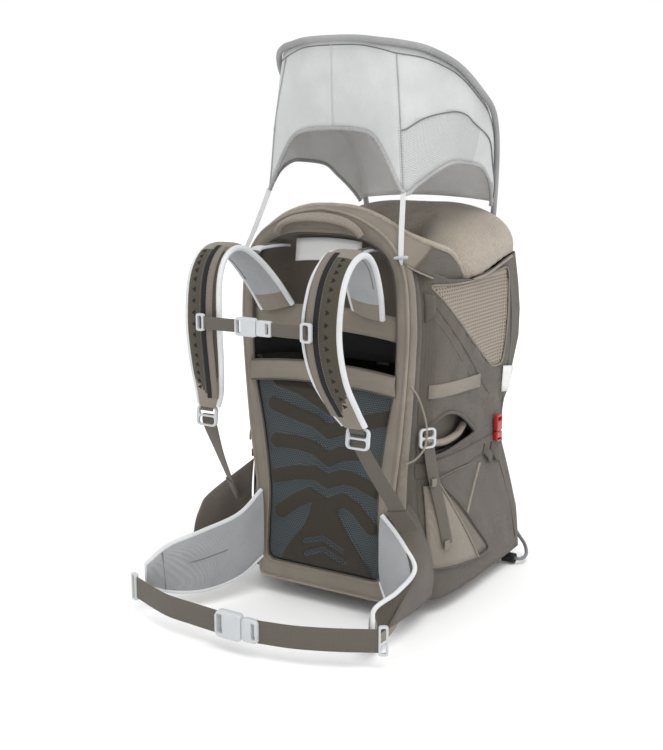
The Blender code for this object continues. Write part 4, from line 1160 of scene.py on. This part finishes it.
def bag_path(plan, height, per_span=2, front=0.044):
    """The bag's outer wall seen from above, from the left front round to the right front."""
    near, wide, deep = look_up(plan, height)
    half = [(near, front, 0.0), ((near + wide) / 2 + 0.006, front + 0.035, 0.0),
            (wide, front + 0.100, 0.0), (wide, deep - 0.130, 0.0), (wide - 0.001, deep - 0.045, 0.0),
            (wide - 0.008, deep - 0.008, 0.0), (wide - 0.050, deep - 0.0005, 0.0), (0.0, deep, 0.0)]
    return [(p.x, p.y) for p in smooth(mirrored(half), per_span)]


def top_edge(y):
    return look_up([(0.044, 0.588), (0.110, 0.564), (0.200, 0.556), (0.300, 0.568), (0.350, 0.580),
                    (0.400, 0.586)], y)[0]


def wall(y, z, lift=0.0, sign=1.0):
    """A point on the bag's side wall."""
    plan = LOWER_PLAN if z < SEAM_HEIGHT else UPPER_PLAN
    path = [point for point in bag_path(plan, z, 4) if point[0] > 0]
    for (x0, y0), (x1, y1) in zip(path, path[1:]):
        if y0 <= y <= y1:
            return at(sign * (x0 + (x1 - x0) * (y - y0) / (y1 - y0) + lift), y, z)
    return at(sign * (path[0][0] + lift), y, z)


def rear(x, z, lift=0.0):
    """A point on the bag's rear wall."""
    plan = LOWER_PLAN if z < SEAM_HEIGHT else UPPER_PLAN
    path = [point for point in bag_path(plan, z, 10) if point[1] > 0.25]
    for (x0, y0), (x1, y1) in zip(path, path[1:]):
        if x1 <= x <= x0 and x0 > x1:
            return at(x, y0 + (y1 - y0) * (x0 - x) / (x0 - x1) + lift, z)
    return at(x, look_up(plan, z)[2] + lift, z)


# Name, low and high end, and half width at its foot and head, of the rear's seams
REAR_SEAMS = [("upper", 0.262, 0.572, 0.104, 0.112), ("lower", 0.034, 0.236, 0.128, 0.112)]
# Name, height, half width and rise in the middle of its zips
REAR_ZIPS = [("upper", 0.505, 0.098, 0.012), ("lower", 0.196, 0.112, 0.010)]
# Name, height above the zip's line, radius and material of what a zip is made of
ZIP_PARTS = [("coil", 0.0, 0.0019, "black"), ("tape_top", 0.0052, 0.0012, "taupe"),
             ("tape_foot", -0.0052, 0.0012, "taupe")]


def build_rear():
    """The seams and the two zips of the rear."""
    for side, sign in SIDES.items():
        for name, low, high, foot, head in REAR_SEAMS:
            seam = [rear(sign * (foot + (head - foot) * step / 16), low + (high - low) * step / 16, 0.0008)
                    for step in range(17)]
            tube(f"rear_seam_{name}_{side}", seam, 0.0010, "deep", sides=2)
    for name, height, half, bow in REAR_ZIPS:
        for part, away, radius, material in ZIP_PARTS:
            line = [rear(half * share, height + away + bow * (1 - share * share), 0.0012)
                    for share in [-1 + step / 14 for step in range(29)]]
            tube(f"rear_zip_{name}_{part}", line, radius, material, sides=3)
        point = rear(half * 0.94, height + bow * 0.10, 0.0042)
        ladder(f"rear_zip_{name}_pull", point - Vector((0.0, 0.0, 0.009)), (-1, 0, 0), UP, 0.008, 0.020,
               "pack", [], 0, 0.0022)


def closed_line(points, per_span=6):
    return [(p.x, p.y) for p in smooth([(y, z, 0.0) for y, z in points], per_span, closed=True)]


def crease(y, z):
    """Small folds of the side wall, in metres."""
    low = 0.0022 * math.sin(31.0 * y + 55.0 * z) * math.exp(-((z - 0.33) / 0.10) ** 2)
    high = 0.0014 * math.sin(70.0 * y - 40.0 * z + 1.0)
    return low + high * (0.6 if z > 0.3 else 1.0)


def build_cockpit():
    window = closed_line(WINDOW, 3)
    leg = closed_line(LEG)
    sample = bag_path(UPPER_PLAN, 0.5, 12)
    count = len(sample)
    levels = 62
    rows = []
    bottom = SEAM_HEIGHT + 0.006
    for level in range(levels + 1):
        share = level / levels
        row = []
        for index in range(count):
            height = bottom + (top_edge(sample[index][1]) - bottom) * share
            x, y = bag_path(UPPER_PLAN, height, 12)[index]
            fold = crease(y, height) * min(1.0, share * 8, (1 - share) * 8) if y < 0.36 else 0.0
            row.append(at(x + math.copysign(fold, x), y, height))
        rows.append(row)
    for row in rows:
        for index, point in enumerate(row):
            y = point.y - BACK
            for outline in (window, leg):
                away, ny, nz = nearest_on(outline, y, point.z)
                if away < 0.0030 and abs(point.x) > 0.14:
                    row[index] = Vector((point.x, ny + BACK, nz))

    def keep(mid, i, j):
        y = mid.y - BACK
        if abs(mid.x) < 0.14:
            return True
        return not (is_inside(window, y, mid.z) or is_inside(leg, y, mid.z))

    def paint(mid, i, j):
        y = mid.y - BACK
        if y > 0.352:
            return 1
        return 2 if y < 0.070 and mid.z > 0.31 else 0

    shell = surface("cockpit_cloth", rows, ["taupe_rip", "taupe_dark", "dark_rip", "deep"], "pack",
                    "taupe_fabric", ["cockpit_shell"], thickness=0.0022, paint=paint, keep=keep,
                    centre=at(0, 0.2, 0.42))
    for side, sign in SIDES.items():
        ring = [wall(y, z, 0.0012, sign) for y, z in leg]
        tube(f"leg_binding_{side}", ring, 0.0030, "taupe_dark", closed=True)
        ring = [wall(y, z, 0.0008, sign) for y, z in window]
        tube(f"window_binding_{side}", ring, 0.0018, "taupe", closed=True, sides=3)
        build_window(side, sign, window)
        lining = patch(f"leg_lining_{side}", [(0.050, 0.262), (0.050, 0.352), (0.250, 0.352), (0.250, 0.262)],
                       -0.030, "deep", sign, 8, 0.0012)
        band = [wall(p.x, p.y, -0.016, sign) for p in smooth([(0.205, 0.300, 0), (0.180, 0.288, 0),
                (0.135, 0.284, 0), (0.095, 0.290, 0), (0.070, 0.302, 0)], 6)]
        tube(f"leg_band_{side}", band, 0.0065, "knit", "pack", "beige_fabric")
    build_waist_band()


def build_waist_band():
    """The cloth that joins the two bags, open at the rear where the stand's lugs come through."""
    rows = []
    for step in range(7):
        z = 0.2380 + 0.0280 * step / 6
        plan = LOWER_PLAN if z < SEAM_HEIGHT else UPPER_PLAN
        swell = 0.0012 + 0.0022 * math.sin(math.pi * step / 6)
        row = []
        for x, y in bag_path(plan, z, 10):
            out = Vector((x, (y - 0.2) * 1.2, 0.0)).normalized()
            row.append(at(x, y, z) + out * swell)
        rows.append(row)

    def keep(mid, i, j):
        return mid.y < at(0, 0.318, 0).y or abs(mid.x) < 0.098

    band = surface("waist_band", rows, ["taupe_rip"], "pack", "taupe_fabric", (), thickness=0.0015,
                   centre=at(0, 0.2, 0.25), keep=keep)


def build_window(side, sign, outline):
    """The mesh window on a grid cut to its outline."""
    rows = []
    for level in range(45):
        z = 0.388 + (0.564 - 0.388) * level / 44
        row = []
        for step in range(61):
            y = 0.060 + (0.346 - 0.060) * step / 60
            away, ny, nz = nearest_on(outline, y, z)
            if away < 0.0032:
                y, z_near = ny, nz
            else:
                z_near = z
            row.append(wall(y, z_near, -0.0035 * min(1.0, away / 0.02) - 0.0008, sign))
        rows.append(row)

    def keep(mid, i, j):
        return is_inside(outline, mid.y - BACK, mid.z)

    item = surface(f"window_cloth_{side}", rows, ["window"], "pack", "beige_mesh", [f"side_mesh_{side}"],
                   thickness=0.0010, keep=keep, centre=at(0, 0.2, 0.45))


def build_lower_bag():
    heights = [0.028, 0.036, 0.050] + [0.050 + (0.244 - 0.050) * step / 26 for step in range(1, 27)]
    rows = []
    for height in heights:
        row = []
        for x, y in bag_path(LOWER_PLAN, height, 10):
            fold = 0.0016 * math.sin(48.0 * y + 30.0 * height) * math.sin(math.pi * (height - 0.028) / 0.216)
            row.append(at(x + math.copysign(fold, x) if abs(x) > 0.1 else x, y, height))
        rows.append(row)
    floor = []
    for share, height in ((0.04, 0.008), (0.45, 0.008), (0.76, 0.009), (0.87, 0.0215), (0.95, 0.0245)):
        floor.append([at(p.x * share, 0.2 + (p.y - BACK - 0.2) * share, height) for p in rows[0]])
    bag = surface("lower_bag_cloth", floor + rows, ["taupe_rip", "dark_rip"], "pack", "taupe_fabric",
                  ["lower_bag"], wrap=True, thickness=0.0025, centre=at(0, 0.2, 0.13),
                  paint=lambda mid, i, j: 1 if j < 5 else 0)
    rim = rows[-1]
    tube("lower_bag_seam", [p + Vector((0, 0, 0.001)) for p in rim], 0.0022, "taupe_dark", closed=True)


# The inside of the cockpit

PAD_STATIONS = [  # outer foot, crest and inner foot of the cushion, each (x, y, z)
    ((0.155, 0.140, 0.551), (0.128, 0.138, 0.566), (0.105, 0.145, 0.548)),
    ((0.161, 0.170, 0.553), (0.110, 0.170, 0.600), (0.090, 0.180, 0.550)),
    ((0.180, 0.194, 0.556), (0.101, 0.197, 0.619), (0.075, 0.205, 0.545)),
    ((0.1865, 0.235, 0.561), (0.090, 0.238, 0.640), (0.058, 0.238, 0.550)),
    ((0.1865, 0.285, 0.571), (0.078, 0.288, 0.656), (0.045, 0.262, 0.552)),
    ((0.1860, 0.335, 0.582), (0.070, 0.325, 0.665), (0.030, 0.266, 0.555)),
    ((0.1785, 0.376, 0.587), (0.060, 0.345, 0.668), (0.014, 0.262, 0.560)),
    ((0.1430, 0.403, 0.589), (0.045, 0.360, 0.669), (0.009, 0.262, 0.560)),
    ((0.0700, 0.4095, 0.590), (0.024, 0.366, 0.669), (0.005, 0.262, 0.560)),
    ((0.0, 0.4100, 0.590), (0.0, 0.367, 0.669), (0.0, 0.262, 0.560))]


def dome(foot, crest, share):
    """A point on the quarter ellipse from the foot of the cushion up to its crest."""
    turn = share * math.pi / 2
    level = foot.lerp(crest, 1 - math.cos(turn))
    level.z = foot.z + (crest.z - foot.z) * math.sin(turn) ** 0.8
    return level


def build_headrest():
    """The U-shaped cushion: the headrest and the two wings that come forward along the walls."""
    keys = [[Vector(point) for point in station] for station in PAD_STATIONS]
    tracks = [smooth([key[index] for key in keys], 6) for index in range(3)]
    half = []
    for outer, crest, inner in zip(*tracks):
        curve = [dome(outer, crest, step / 9) for step in range(10)]
        curve += [dome(inner, crest, 1 - step / 6) for step in range(1, 7)]
        low = inner.lerp(outer, 0.5) - Vector((0, 0, 0.006))
        half.append([at(*p) for p in curve] + [at(*(inner.lerp(low, 0.6))), at(*low)])
    rings = half + [[Vector((-p.x, p.y, p.z)) for p in ring] for ring in reversed(half[:-1])]
    pad = loft("headrest_cushion", rings, ["knit"], "pack", "beige_fabric", ["headrest_pad"])
    inflate(pad, 0.0055, 4.0, 0.005)
    for side, sign in SIDES.items():
        hem = [at(outer.x * sign, outer.y, outer.z - 0.001) for outer in tracks[0][12:32]]
        tube(f"headrest_hem_{side}", hem, 0.0022, "piping_beige", "pack", "beige_fabric")
    rings = []
    for level in range(13):
        share = level / 12
        swell = math.sin(math.pi * (0.08 + 0.84 * share)) ** 0.4
        rings.append([at(0.126 * swell * math.cos(turn), 0.290 + 0.020 * swell * math.sin(turn),
                         0.400 + 0.168 * share) for turn in [math.tau * step / 28 for step in range(28)]])
    back = loft("backrest_cushion", rings, ["knit"], "pack", "beige_fabric", ["headrest_pad"])


def inflate(item, voxel, pressure, cap, subdivide=True):
    """Fills the piece like a cushion: a pressure simulation whose movement is capped."""
    bpy.context.view_layer.objects.active = item
    item.select_set(True)
    remesh = item.modifiers.new("remesh", "REMESH")
    remesh.mode = "VOXEL"
    remesh.voxel_size = voxel
    bpy.ops.object.modifier_apply(modifier=remesh.name)
    start = [vert.co.copy() for vert in item.data.vertices]
    cloth = item.modifiers.new("cloth", "CLOTH")
    cloth.settings.use_pressure = True
    cloth.settings.uniform_pressure_force = pressure
    cloth.settings.effector_weights.gravity = 0.0
    cloth.settings.quality = 5
    cloth.point_cache.frame_start = 1
    cloth.point_cache.frame_end = 20
    for moment in range(1, 21):
        bpy.context.scene.frame_set(moment)
    found = item.evaluated_get(bpy.context.evaluated_depsgraph_get()).to_mesh()
    ends = [vert.co.copy() for vert in found.vertices]
    item.modifiers.remove(cloth)
    bpy.context.scene.frame_set(1)
    for vert, before, after in zip(item.data.vertices, start, ends):
        move = after - before
        vert.co = before + (move * (cap / move.length) if move.length > cap else move)
    if subdivide:
        finer = item.modifiers.new("finer", "SUBSURF")
        finer.levels = 1
        finer.render_levels = 1
        bpy.ops.object.modifier_apply(modifier=finer.name)
    item.data.shade_smooth()
    item.select_set(False)


def build_seat():
    saddle = [((0.0, 0.085, 0.300), (1, 0, 0), 0.064), ((0.0, 0.130, 0.290), (1, 0, 0), 0.072),
              ((0.0, 0.190, 0.288), (1, 0, 0), 0.102), ((0.0, 0.240, 0.291), (1, 0, 0), 0.160),
              ((0.0, 0.290, 0.300), (1, 0, 0), 0.190)]
    rings = []
    for centre, side, out, width in frames(saddle, 5):
        ring = []
        for step in range(20):
            turn = math.tau * step / 20
            a = math.copysign(abs(math.cos(turn)) ** 0.6, math.cos(turn))
            b = math.copysign(abs(math.sin(turn)) ** 0.6, math.sin(turn))
            ring.append(centre + side * width / 2 * a + out * 0.011 * b)
        rings.append(ring)
    seat = loft("seat_cushion", rings, ["knit"], "seat", "beige_fabric", ["child_seat"])
    inflate(seat, 0.0060, 4.0, 0.005)
    for side, sign in SIDES.items():
        line = frames([((sign * 0.040, 0.2775, 0.372), (1, 0, 0), 0.026),
                       ((sign * 0.040, 0.2750, 0.430), (1, 0, 0), 0.028),
                       ((sign * 0.041, 0.2750, 0.500), (1, 0, 0), 0.026),
                       ((sign * 0.042, 0.2775, 0.528), (1, 0, 0), 0.024)], 4)
        nodes = ["child_harness"] if side == "left" else []
        strap(f"child_strap_{side}", line, 0.004, ["grey"], "pack", "grey_fabric", nodes, crown=0.001)


# Belt

RIGHT_WING = [((-0.1195, -0.0065, 0.130), (0, 0, 1), 0.126), ((-0.138, -0.050, 0.098), (0, 0, 1), 0.118),
              ((-0.172, -0.108, 0.081), (-0.1, 0, 1), 0.108), ((-0.208, -0.152, 0.074), (-0.1, 0, 1), 0.086),
              ((-0.234, -0.182, 0.068), (0, 0, 1), 0.044)]
LEFT_WING = [((0.1210, -0.0085, 0.128), (0, 0, 1), 0.122),
             ((0.154, -0.017, 0.091), (0.014, 0.030, 0.102), 0.106),
             ((0.181, -0.040, 0.066), (0.016, 0.050, 0.092), 0.102),
             ((0.184, -0.087, 0.053), (0.006, 0.030, 0.078), 0.082),
             ((0.179, -0.130, 0.048), (0, 0, 1), 0.068), ((0.188, -0.152, 0.047), (0, 0, 1), 0.040)]


def build_wing(side, sign, stations):
    line = frames(stations, 8)
    count = 12
    rings = []
    for centre, across, out, width in line:
        out = out * -sign           # away from the wearer
        half = width / 2 - 0.003
        ring = []
        for step in range(count + 1):
            share = -1 + 2 * step / count
            ring.append(centre + across * half * share + out * (0.0022 + 0.0043 * (1 - share ** 4)))
        for step in range(count + 1):
            share = 1 - 2 * step / count
            ring.append(centre + across * half * share - out * (0.0022 + 0.0043 * (1 - share ** 4)))
        rings.append(ring)

    def paint(i, j):
        if i >= count:
            return 0
        return 2 if i < 4 or j > len(line) * 0.86 else 1

    wing = loft(f"hip_pad_{side}", rings, ["wing", "wing_mesh", "taupe"], "pack", "grey_fabric",
                [f"hip_wing_{side}"], paint)
    edge = [centre + across * (width / 2 - 0.003) for centre, across, out, width in line]
    edge += [centre - across * (width / 2 - 0.003) for centre, across, out, width in reversed(line)]
    tube(f"hip_piping_{side}", edge, 0.0038, "piping", "pack", "grey_fabric")
    groove = [centre + out * sign * 0.0062 + across * width * 0.05 for centre, across, out, width
              in line[int(len(line) * 0.36):int(len(line) * 0.62)]]
    tube(f"hip_slit_{side}", groove, 0.0011, "seam", "pack", "grey_fabric", sides=2)
    seam = line[int(len(line) * 0.80)]
    centre, across, out, width = seam
    path = [centre + out * sign * 0.0058 + across * width * share for share in (-0.42, -0.2, 0.0, 0.2, 0.42)]
    tube(f"hip_end_seam_{side}", path, 0.0009, "seam", "pack", "grey_fabric", sides=2)


def side_release(name, centre, right, up, length, height, depth, body, nodes, male=False, material="plastic",
                 slot="pale_plastic"):
    """Half of a side-release buckle: the body with its window, or the half with two prongs."""
    if male:
        outline = [round_box(length, height, height * 0.16),
                   list(reversed(round_box(length * 0.22, height * 0.66, length * 0.06, length * 0.24)))]
    else:
        outline = [round_box(length, height, height * 0.18),
                   list(reversed(round_box(length * 0.20, height * 0.66, length * 0.05, -length * 0.34)))]
    return plate(name, outline, depth, material, basis(centre, right, up), body, slot, nodes, depth * 0.22)


def build_belt():
    build_wing("right", -1.0, RIGHT_WING)
    build_wing("left", 1.0, LEFT_WING)
    width = 0.038
    web = frames([((-0.2400, -0.2030, 0.052), UP, width), ((-0.160, -0.226, 0.047), UP, width),
                  ((-0.100, -0.2315, 0.046), UP, width), ((-0.0440, -0.234, 0.045), UP, width)], 6)
    strap("hip_tape_right", web, 0.002, ["web"], "pack", "webbing", ["hip_web_right"])
    web = frames([((0.0300, -0.2330, 0.045), UP, width), ((0.090, -0.2215, 0.046), UP, width),
                  ((0.150, -0.199, 0.047), UP, width), ((0.2080, -0.1675, 0.047), UP, width)], 6)
    tape = strap("hip_tape_left", web, 0.002, ["web"], None, "webbing", ["hip_web_left"])
    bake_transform(tape)
    for side, centre, turn, wide, high in (("right", (-0.2430, -0.2020, 0.052), -0.35, 0.014, 0.047),
                                           ("left", (0.2135, -0.1635, 0.047), 0.55, 0.015, 0.048)):
        ladder(f"hip_buckle_{side}", at(*centre), (math.cos(turn), math.sin(turn), 0), UP, wide, high, "pack",
               [f"hip_slider_{side}"], 0, 0.007)
    side_release("hip_socket_body", at(-0.0220, -0.234, 0.045), (1, 0, 0), UP, 0.049, 0.045, 0.014, "pack",
                 ["hip_socket"])
    side_release("hip_clip_body", at(0.0180, -0.234, 0.045), (1, 0, 0), UP, 0.030, 0.038, 0.012, "hip_clip",
                 ["hip_clip"], True)


def build_sternum():
    y, z = -0.1915, 0.511
    for side, low, high, body in (("right", -0.0985, -0.030, "sternum"), ("left", 0.0320, 0.0945, None)):
        line = frames([((low, y, z), UP, 0.020), ((low * 0.6 + high * 0.4, y - 0.0015, z), UP, 0.020),
                       ((high, y, z), UP, 0.020)], 5)
        tape = strap(f"sternum_tape_{side}", line, 0.0018, ["web"], body, "webbing", [f"sternum_web_{side}"])
        if not body:
            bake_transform(tape)
    ladder("sternum_slide_right", at(-0.1000, y, z), (1, 0, 0), UP, 0.014, 0.027, "sternum",
           ["sternum_slider_right"], 0, 0.0065)
    ladder("sternum_slide_left", at(0.0950, y, z), (1, 0, 0), UP, 0.019, 0.030, "sternum",
           ["sternum_slider_left"], 0, 0.0065)
    side_release("sternum_socket_body", at(-0.0125, y, z), (1, 0, 0), UP, 0.038, 0.029, 0.010, "sternum",
                 ["sternum_socket"])
    side_release("sternum_clip_body", at(0.0205, y, z), (1, 0, 0), UP, 0.026, 0.024, 0.009, "sternum_clip",
                 ["sternum_clip"], True)


# Sides

def patch(name, corners, lift, material, sign, steps=8, thickness=0.0012, slot="taupe_fabric", nodes=(),
          bow=0.0015):
    """A four-sided cloth patch laid on the wall: corners as (y, z), round the patch."""
    a, b, c, d = corners
    rows = []
    for level in range(steps + 1):
        v = level / steps
        row = []
        for step in range(steps + 1):
            u = step / steps
            y = (a[0] * (1 - u) + b[0] * u) * (1 - v) + (d[0] * (1 - u) + c[0] * u) * v
            z = (a[1] * (1 - u) + b[1] * u) * (1 - v) + (d[1] * (1 - u) + c[1] * u) * v
            rise = bow * math.sin(math.pi * u) * math.sin(math.pi * v)
            row.append(wall(y, z, lift + rise, sign))
        rows.append(row)
    return surface(name, rows, [material], "pack", slot, nodes, thickness=thickness, centre=at(0, 0.2, 0.3))


def wall_line(points, lift, sign, per_span=6):
    return [wall(p.x, p.y, lift, sign) for p in smooth([(y, z, 0.0) for y, z in points], per_span)]


def build_side(side, sign):
    flap = patch(f"stirrup_cloth_{side}", [(0.052, 0.226), (0.080, 0.226), (0.195, 0.066), (0.050, 0.086)],
                 0.0060, "taupe", sign, 14, 0.002, nodes=[f"stirrup_flap_{side}"], bow=0.0050)
    shadow = patch(f"stirrup_pocket_{side}", [(0.076, 0.222), (0.090, 0.218), (0.241, 0.070), (0.188, 0.067)],
                   0.0022, "deep", sign, 12, 0.0012, bow=0.0)
    edge = wall_line([(0.080, 0.226), (0.118, 0.172), (0.158, 0.118), (0.195, 0.066)], 0.0070, sign)
    tube(f"stirrup_edge_{side}", edge, 0.0018, "taupe", sides=3)
    edge = wall_line([(0.090, 0.220), (0.140, 0.178), (0.196, 0.120), (0.241, 0.070), (0.190, 0.0655),
                      (0.120, 0.074), (0.050, 0.085)], 0.0040, sign)
    tube(f"stirrup_hem_{side}", edge, 0.0018, "taupe_dark", sides=3)
    line = []
    for y, z in [(0.0560, 0.300), (0.0610, 0.262), (0.0660, 0.226), (0.0740, 0.180), (0.0830, 0.124)]:
        point = wall(y, z, 0.0115, sign)
        line.append(((point.x, point.y - BACK, z), (sign * 0.35, 1.0, 0.0), 0.024))
    strap(f"side_tape_{side}", frames(line, 5), 0.0018, ["web"], "pack", "webbing", [f"side_web_{side}"])
    for name, y, z, high in (("keeper", 0.0655, 0.232, 0.014), ("bartack", 0.0825, 0.122, 0.016)):
        point = wall(y, z, 0.0130, sign)
        loop = [((point.x - sign * 0.0004 * way, point.y - BACK + 0.013 * way, z - 0.002 * way), UP, high)
                for way in (-1, -0.5, 0, 0.5, 1)]
        strap(f"side_{name}_{side}", frames(loop, 3), 0.0016, ["rail"], "pack", "webbing", ())
    right = (sign * math.sin(0.5), math.cos(0.5), 0)
    ladder(f"side_ladder_{side}", at(sign * 0.1715, 0.052, 0.309), right, UP, 0.032, 0.034,
           f"side_lock_{side}", [f"side_lock_{side}"])
    x = abs(wall(0.300, 0.285).x) + 0.008
    side_release(f"side_socket_body_{side}", at(sign * x, 0.300, 0.2615), UP, (0, 1, 0), 0.017, 0.022, 0.0095,
                 "pack", [f"side_socket_{side}"], material="red", slot="red_plastic")
    side_release(f"side_clip_body_{side}", at(sign * x, 0.300, 0.2855), UP, (0, 1, 0), 0.030, 0.021, 0.0095,
                 f"side_clip_{side}", [f"side_clip_{side}"], True, "red", "red_plastic")
    for index, (y, z, reach) in enumerate(((0.262, 0.236, 0.030), (0.292, 0.232, 0.034))):
        loop = [wall(y - 0.016, z + 0.014, 0.004, sign), wall(y - 0.004, z + 0.002, 0.007, sign),
                wall(y + 0.012, z - 0.012, 0.005, sign)]
        line = [((p.x, p.y - BACK, p.z), (0.0, 0.5, 1.0), reach * 0.55) for p in loop]
        strap(f"side_loop_{index}_{side}", frames(line, 5), 0.002, ["web_dark"], "pack", "webbing", ())
    seams = {
        "diagonal": ([(0.050, 0.545), (0.080, 0.512), (0.118, 0.477), (0.170, 0.432), (0.215, 0.392),
                      (0.262, 0.352), (0.300, 0.318)], 0.0010, "taupe_dark"),
        "diagonal_low": ([(0.052, 0.520), (0.110, 0.462), (0.170, 0.408), (0.235, 0.348), (0.285, 0.300)],
                         0.0008, "deep"),
        "rear": ([(0.338, 0.556), (0.350, 0.500), (0.352, 0.430), (0.345, 0.360), (0.330, 0.300),
                  (0.318, 0.262)], 0.0011, "taupe_dark"),
        "lower_front": ([(0.055, 0.218), (0.090, 0.232), (0.140, 0.236), (0.193, 0.233)], 0.0011, "deep"),
        "lower_rear": ([(0.300, 0.236), (0.325, 0.190), (0.352, 0.120), (0.372, 0.050)], 0.0012,
                       "taupe_dark"),
        "lower_band": ([(0.232, 0.226), (0.200, 0.190), (0.170, 0.152)], 0.0026, "piping_beige"),
    }
    for name, (points, radius, material) in seams.items():
        tube(f"seam_{name}_{side}", wall_line(points, 0.0010, sign), radius, material, sides=2)
    band = patch(f"compression_band_{side}", [(0.060, 0.372), (0.060, 0.395), (0.228, 0.388), (0.228, 0.364)],
                 0.0028, "taupe", sign, 10, 0.0016, bow=0.0016)
    tag = patch(f"blank_tag_{side}", [(0.322, 0.386), (0.372, 0.378), (0.372, 0.330), (0.322, 0.338)],
                0.0040, "tag", sign, 4, 0.0008, slot="pale_webbing")
    small = patch(f"front_tab_{side}", [(0.050, 0.500), (0.050, 0.548), (0.068, 0.542), (0.068, 0.508)],
                  0.0026, "taupe_dark", sign, 4, 0.0012)
    loop = [at(sign * x, y, z) for x, y, z in [tuple(p) for p in smooth([
        (0.160, 0.012, 0.402), (0.166, 0.030, 0.379), (0.171, 0.048, 0.333), (0.172, 0.044, 0.298),
        (0.165, 0.026, 0.279), (0.154, 0.010, 0.272)], 6)]]
    tube(f"side_elastic_{side}", loop, 0.0017, "piping_beige", "pack", "beige_fabric", sides=3)
    build_stabilizer(side, sign)


def build_stabilizer(side, sign):
    """The cloth between the hip wing and the pack: its edge on the wing and its edge on the bag."""
    if side == "left":
        front = [(0.126, 0.000, 0.184), (0.160, -0.004, 0.140), (0.189, -0.030, 0.098),
                 (0.194, -0.080, 0.066), (0.190, -0.112, 0.040)]
        rear = [(0.150, 0.036, 0.205), (0.163, 0.048, 0.165), (0.177, 0.062, 0.115),
                (0.182, 0.066, 0.070), (0.180, 0.062, 0.034)]
    else:
        front = [(0.148, 0.012, 0.238), (0.178, 0.003, 0.212), (0.210, -0.008, 0.184),
                 (0.232, -0.020, 0.160), (0.238, -0.026, 0.142)]
        rear = [(0.142, 0.004, 0.090), (0.166, -0.018, 0.088), (0.186, -0.044, 0.086),
                (0.202, -0.064, 0.084), (0.214, -0.080, 0.084)]
    first = smooth([at(x * sign, y, z) for x, y, z in front], 6)
    last = smooth([at(x * sign, y, z) for x, y, z in rear], 6)
    rows = []
    for a, b in zip(first, last):
        rows.append([a.lerp(b, step / 10) + Vector((sign * 0.006, 0, 0.002)) * math.sin(math.pi * step / 10)
                     for step in range(11)])
    cloth = surface(f"stabilizer_{side}", rows, ["sturdy"], "pack", "taupe_fabric", (), thickness=0.0022,
                    centre=at(0, 0.05, 0.1))


# The camera: its lens and sensor in millimetres, the way it looks, and where it stands
LENS = 57.36
SENSOR = 36.0
AZIMUTH = math.radians(31.9)
PITCH = math.radians(11.6)
EYE = (1.0374, -1.6353, 0.8024)
# Name, place, spread in degrees and strength of the studio's soft lights
LAMPS = [("key", (1.0, -0.5, 3.0), 35.0, 1.1), ("fill", (2.4, -1.2, 1.6), 60.0, 0.25)]


def build_stage():
    camera = bpy.data.cameras.new("camera")
    camera.lens = LENS
    camera.sensor_width = SENSOR
    eye = bpy.data.objects.new("camera", camera)
    bpy.context.scene.collection.objects.link(eye)
    level = math.cos(PITCH)
    look = Vector((-math.sin(AZIMUTH) * level, math.cos(AZIMUTH) * level, -math.sin(PITCH)))
    eye.location = at(*EYE)
    eye.rotation_euler = look.to_track_quat("-Z", "Y").to_euler()
    bpy.context.scene.camera = eye
    world = bpy.data.worlds.new("studio")
    world.use_nodes = True
    world.node_tree.nodes["Background"].inputs[0].default_value = (1.0, 1.0, 1.0, 1.0)
    world.node_tree.nodes["Background"].inputs[1].default_value = 1.0
    bpy.context.scene.world = world
    bpy.context.scene.view_settings.view_transform = "Standard"
    for name, place_at, angle, power in LAMPS:
        lamp = bpy.data.lights.new(name, "SUN")
        lamp.angle = math.radians(angle)
        lamp.energy = power
        item = bpy.data.objects.new(name, lamp)
        bpy.context.scene.collection.objects.link(item)
        item.location = at(*place_at)
        item.rotation_euler = (at(0, 0.1, 0.4) - item.location).to_track_quat("-Z", "Y").to_euler()
    work = bmesh.new()
    bmesh.ops.create_grid(work, x_segments=1, y_segments=1, size=6.0)
    data = bpy.data.meshes.new("floor")
    work.to_mesh(data)
    work.free()
    floor = bpy.data.objects.new("floor", data)
    bpy.context.scene.collection.objects.link(floor)
    paint = Sheet("floor_paint", 0.9)
    paint.colour(paint.blend(paint.noise(3.0), shade_of("#fbfbfb"), shade_of("#f8f8f8")))
    data.materials.append(paint.material)


def finish_cad():
    """Better materials on the hard CAD pieces that stay."""
    for node, key in (("frame_hoop", "metal"), ("seat_frame", "metal"), ("base_tray", "tray"),
                      ("kickstand_hoop", "stand"), ("kickstand_foot_left", "rubber"),
                      ("kickstand_foot_right", "rubber"), ("kickstand_lug_left", "tray"),
                      ("kickstand_lug_right", "tray")):
        item = bpy.data.objects[node]
        for index in range(max(1, len(item.material_slots))):
            if not item.material_slots:
                item.data.materials.append(MAT[key])
            else:
                item.material_slots[index].material = MAT[key]


def main():
    build_stage()
    build_shade()
    build_harness()
    build_sternum()
    build_panel()
    build_front()
    build_recess()
    build_collar()
    build_handle()
    build_cockpit()
    build_lower_bag()
    build_rear()
    build_headrest()
    build_seat()
    build_belt()
    for side, sign in SIDES.items():
        build_side(side, sign)
    finish_cad()


main()
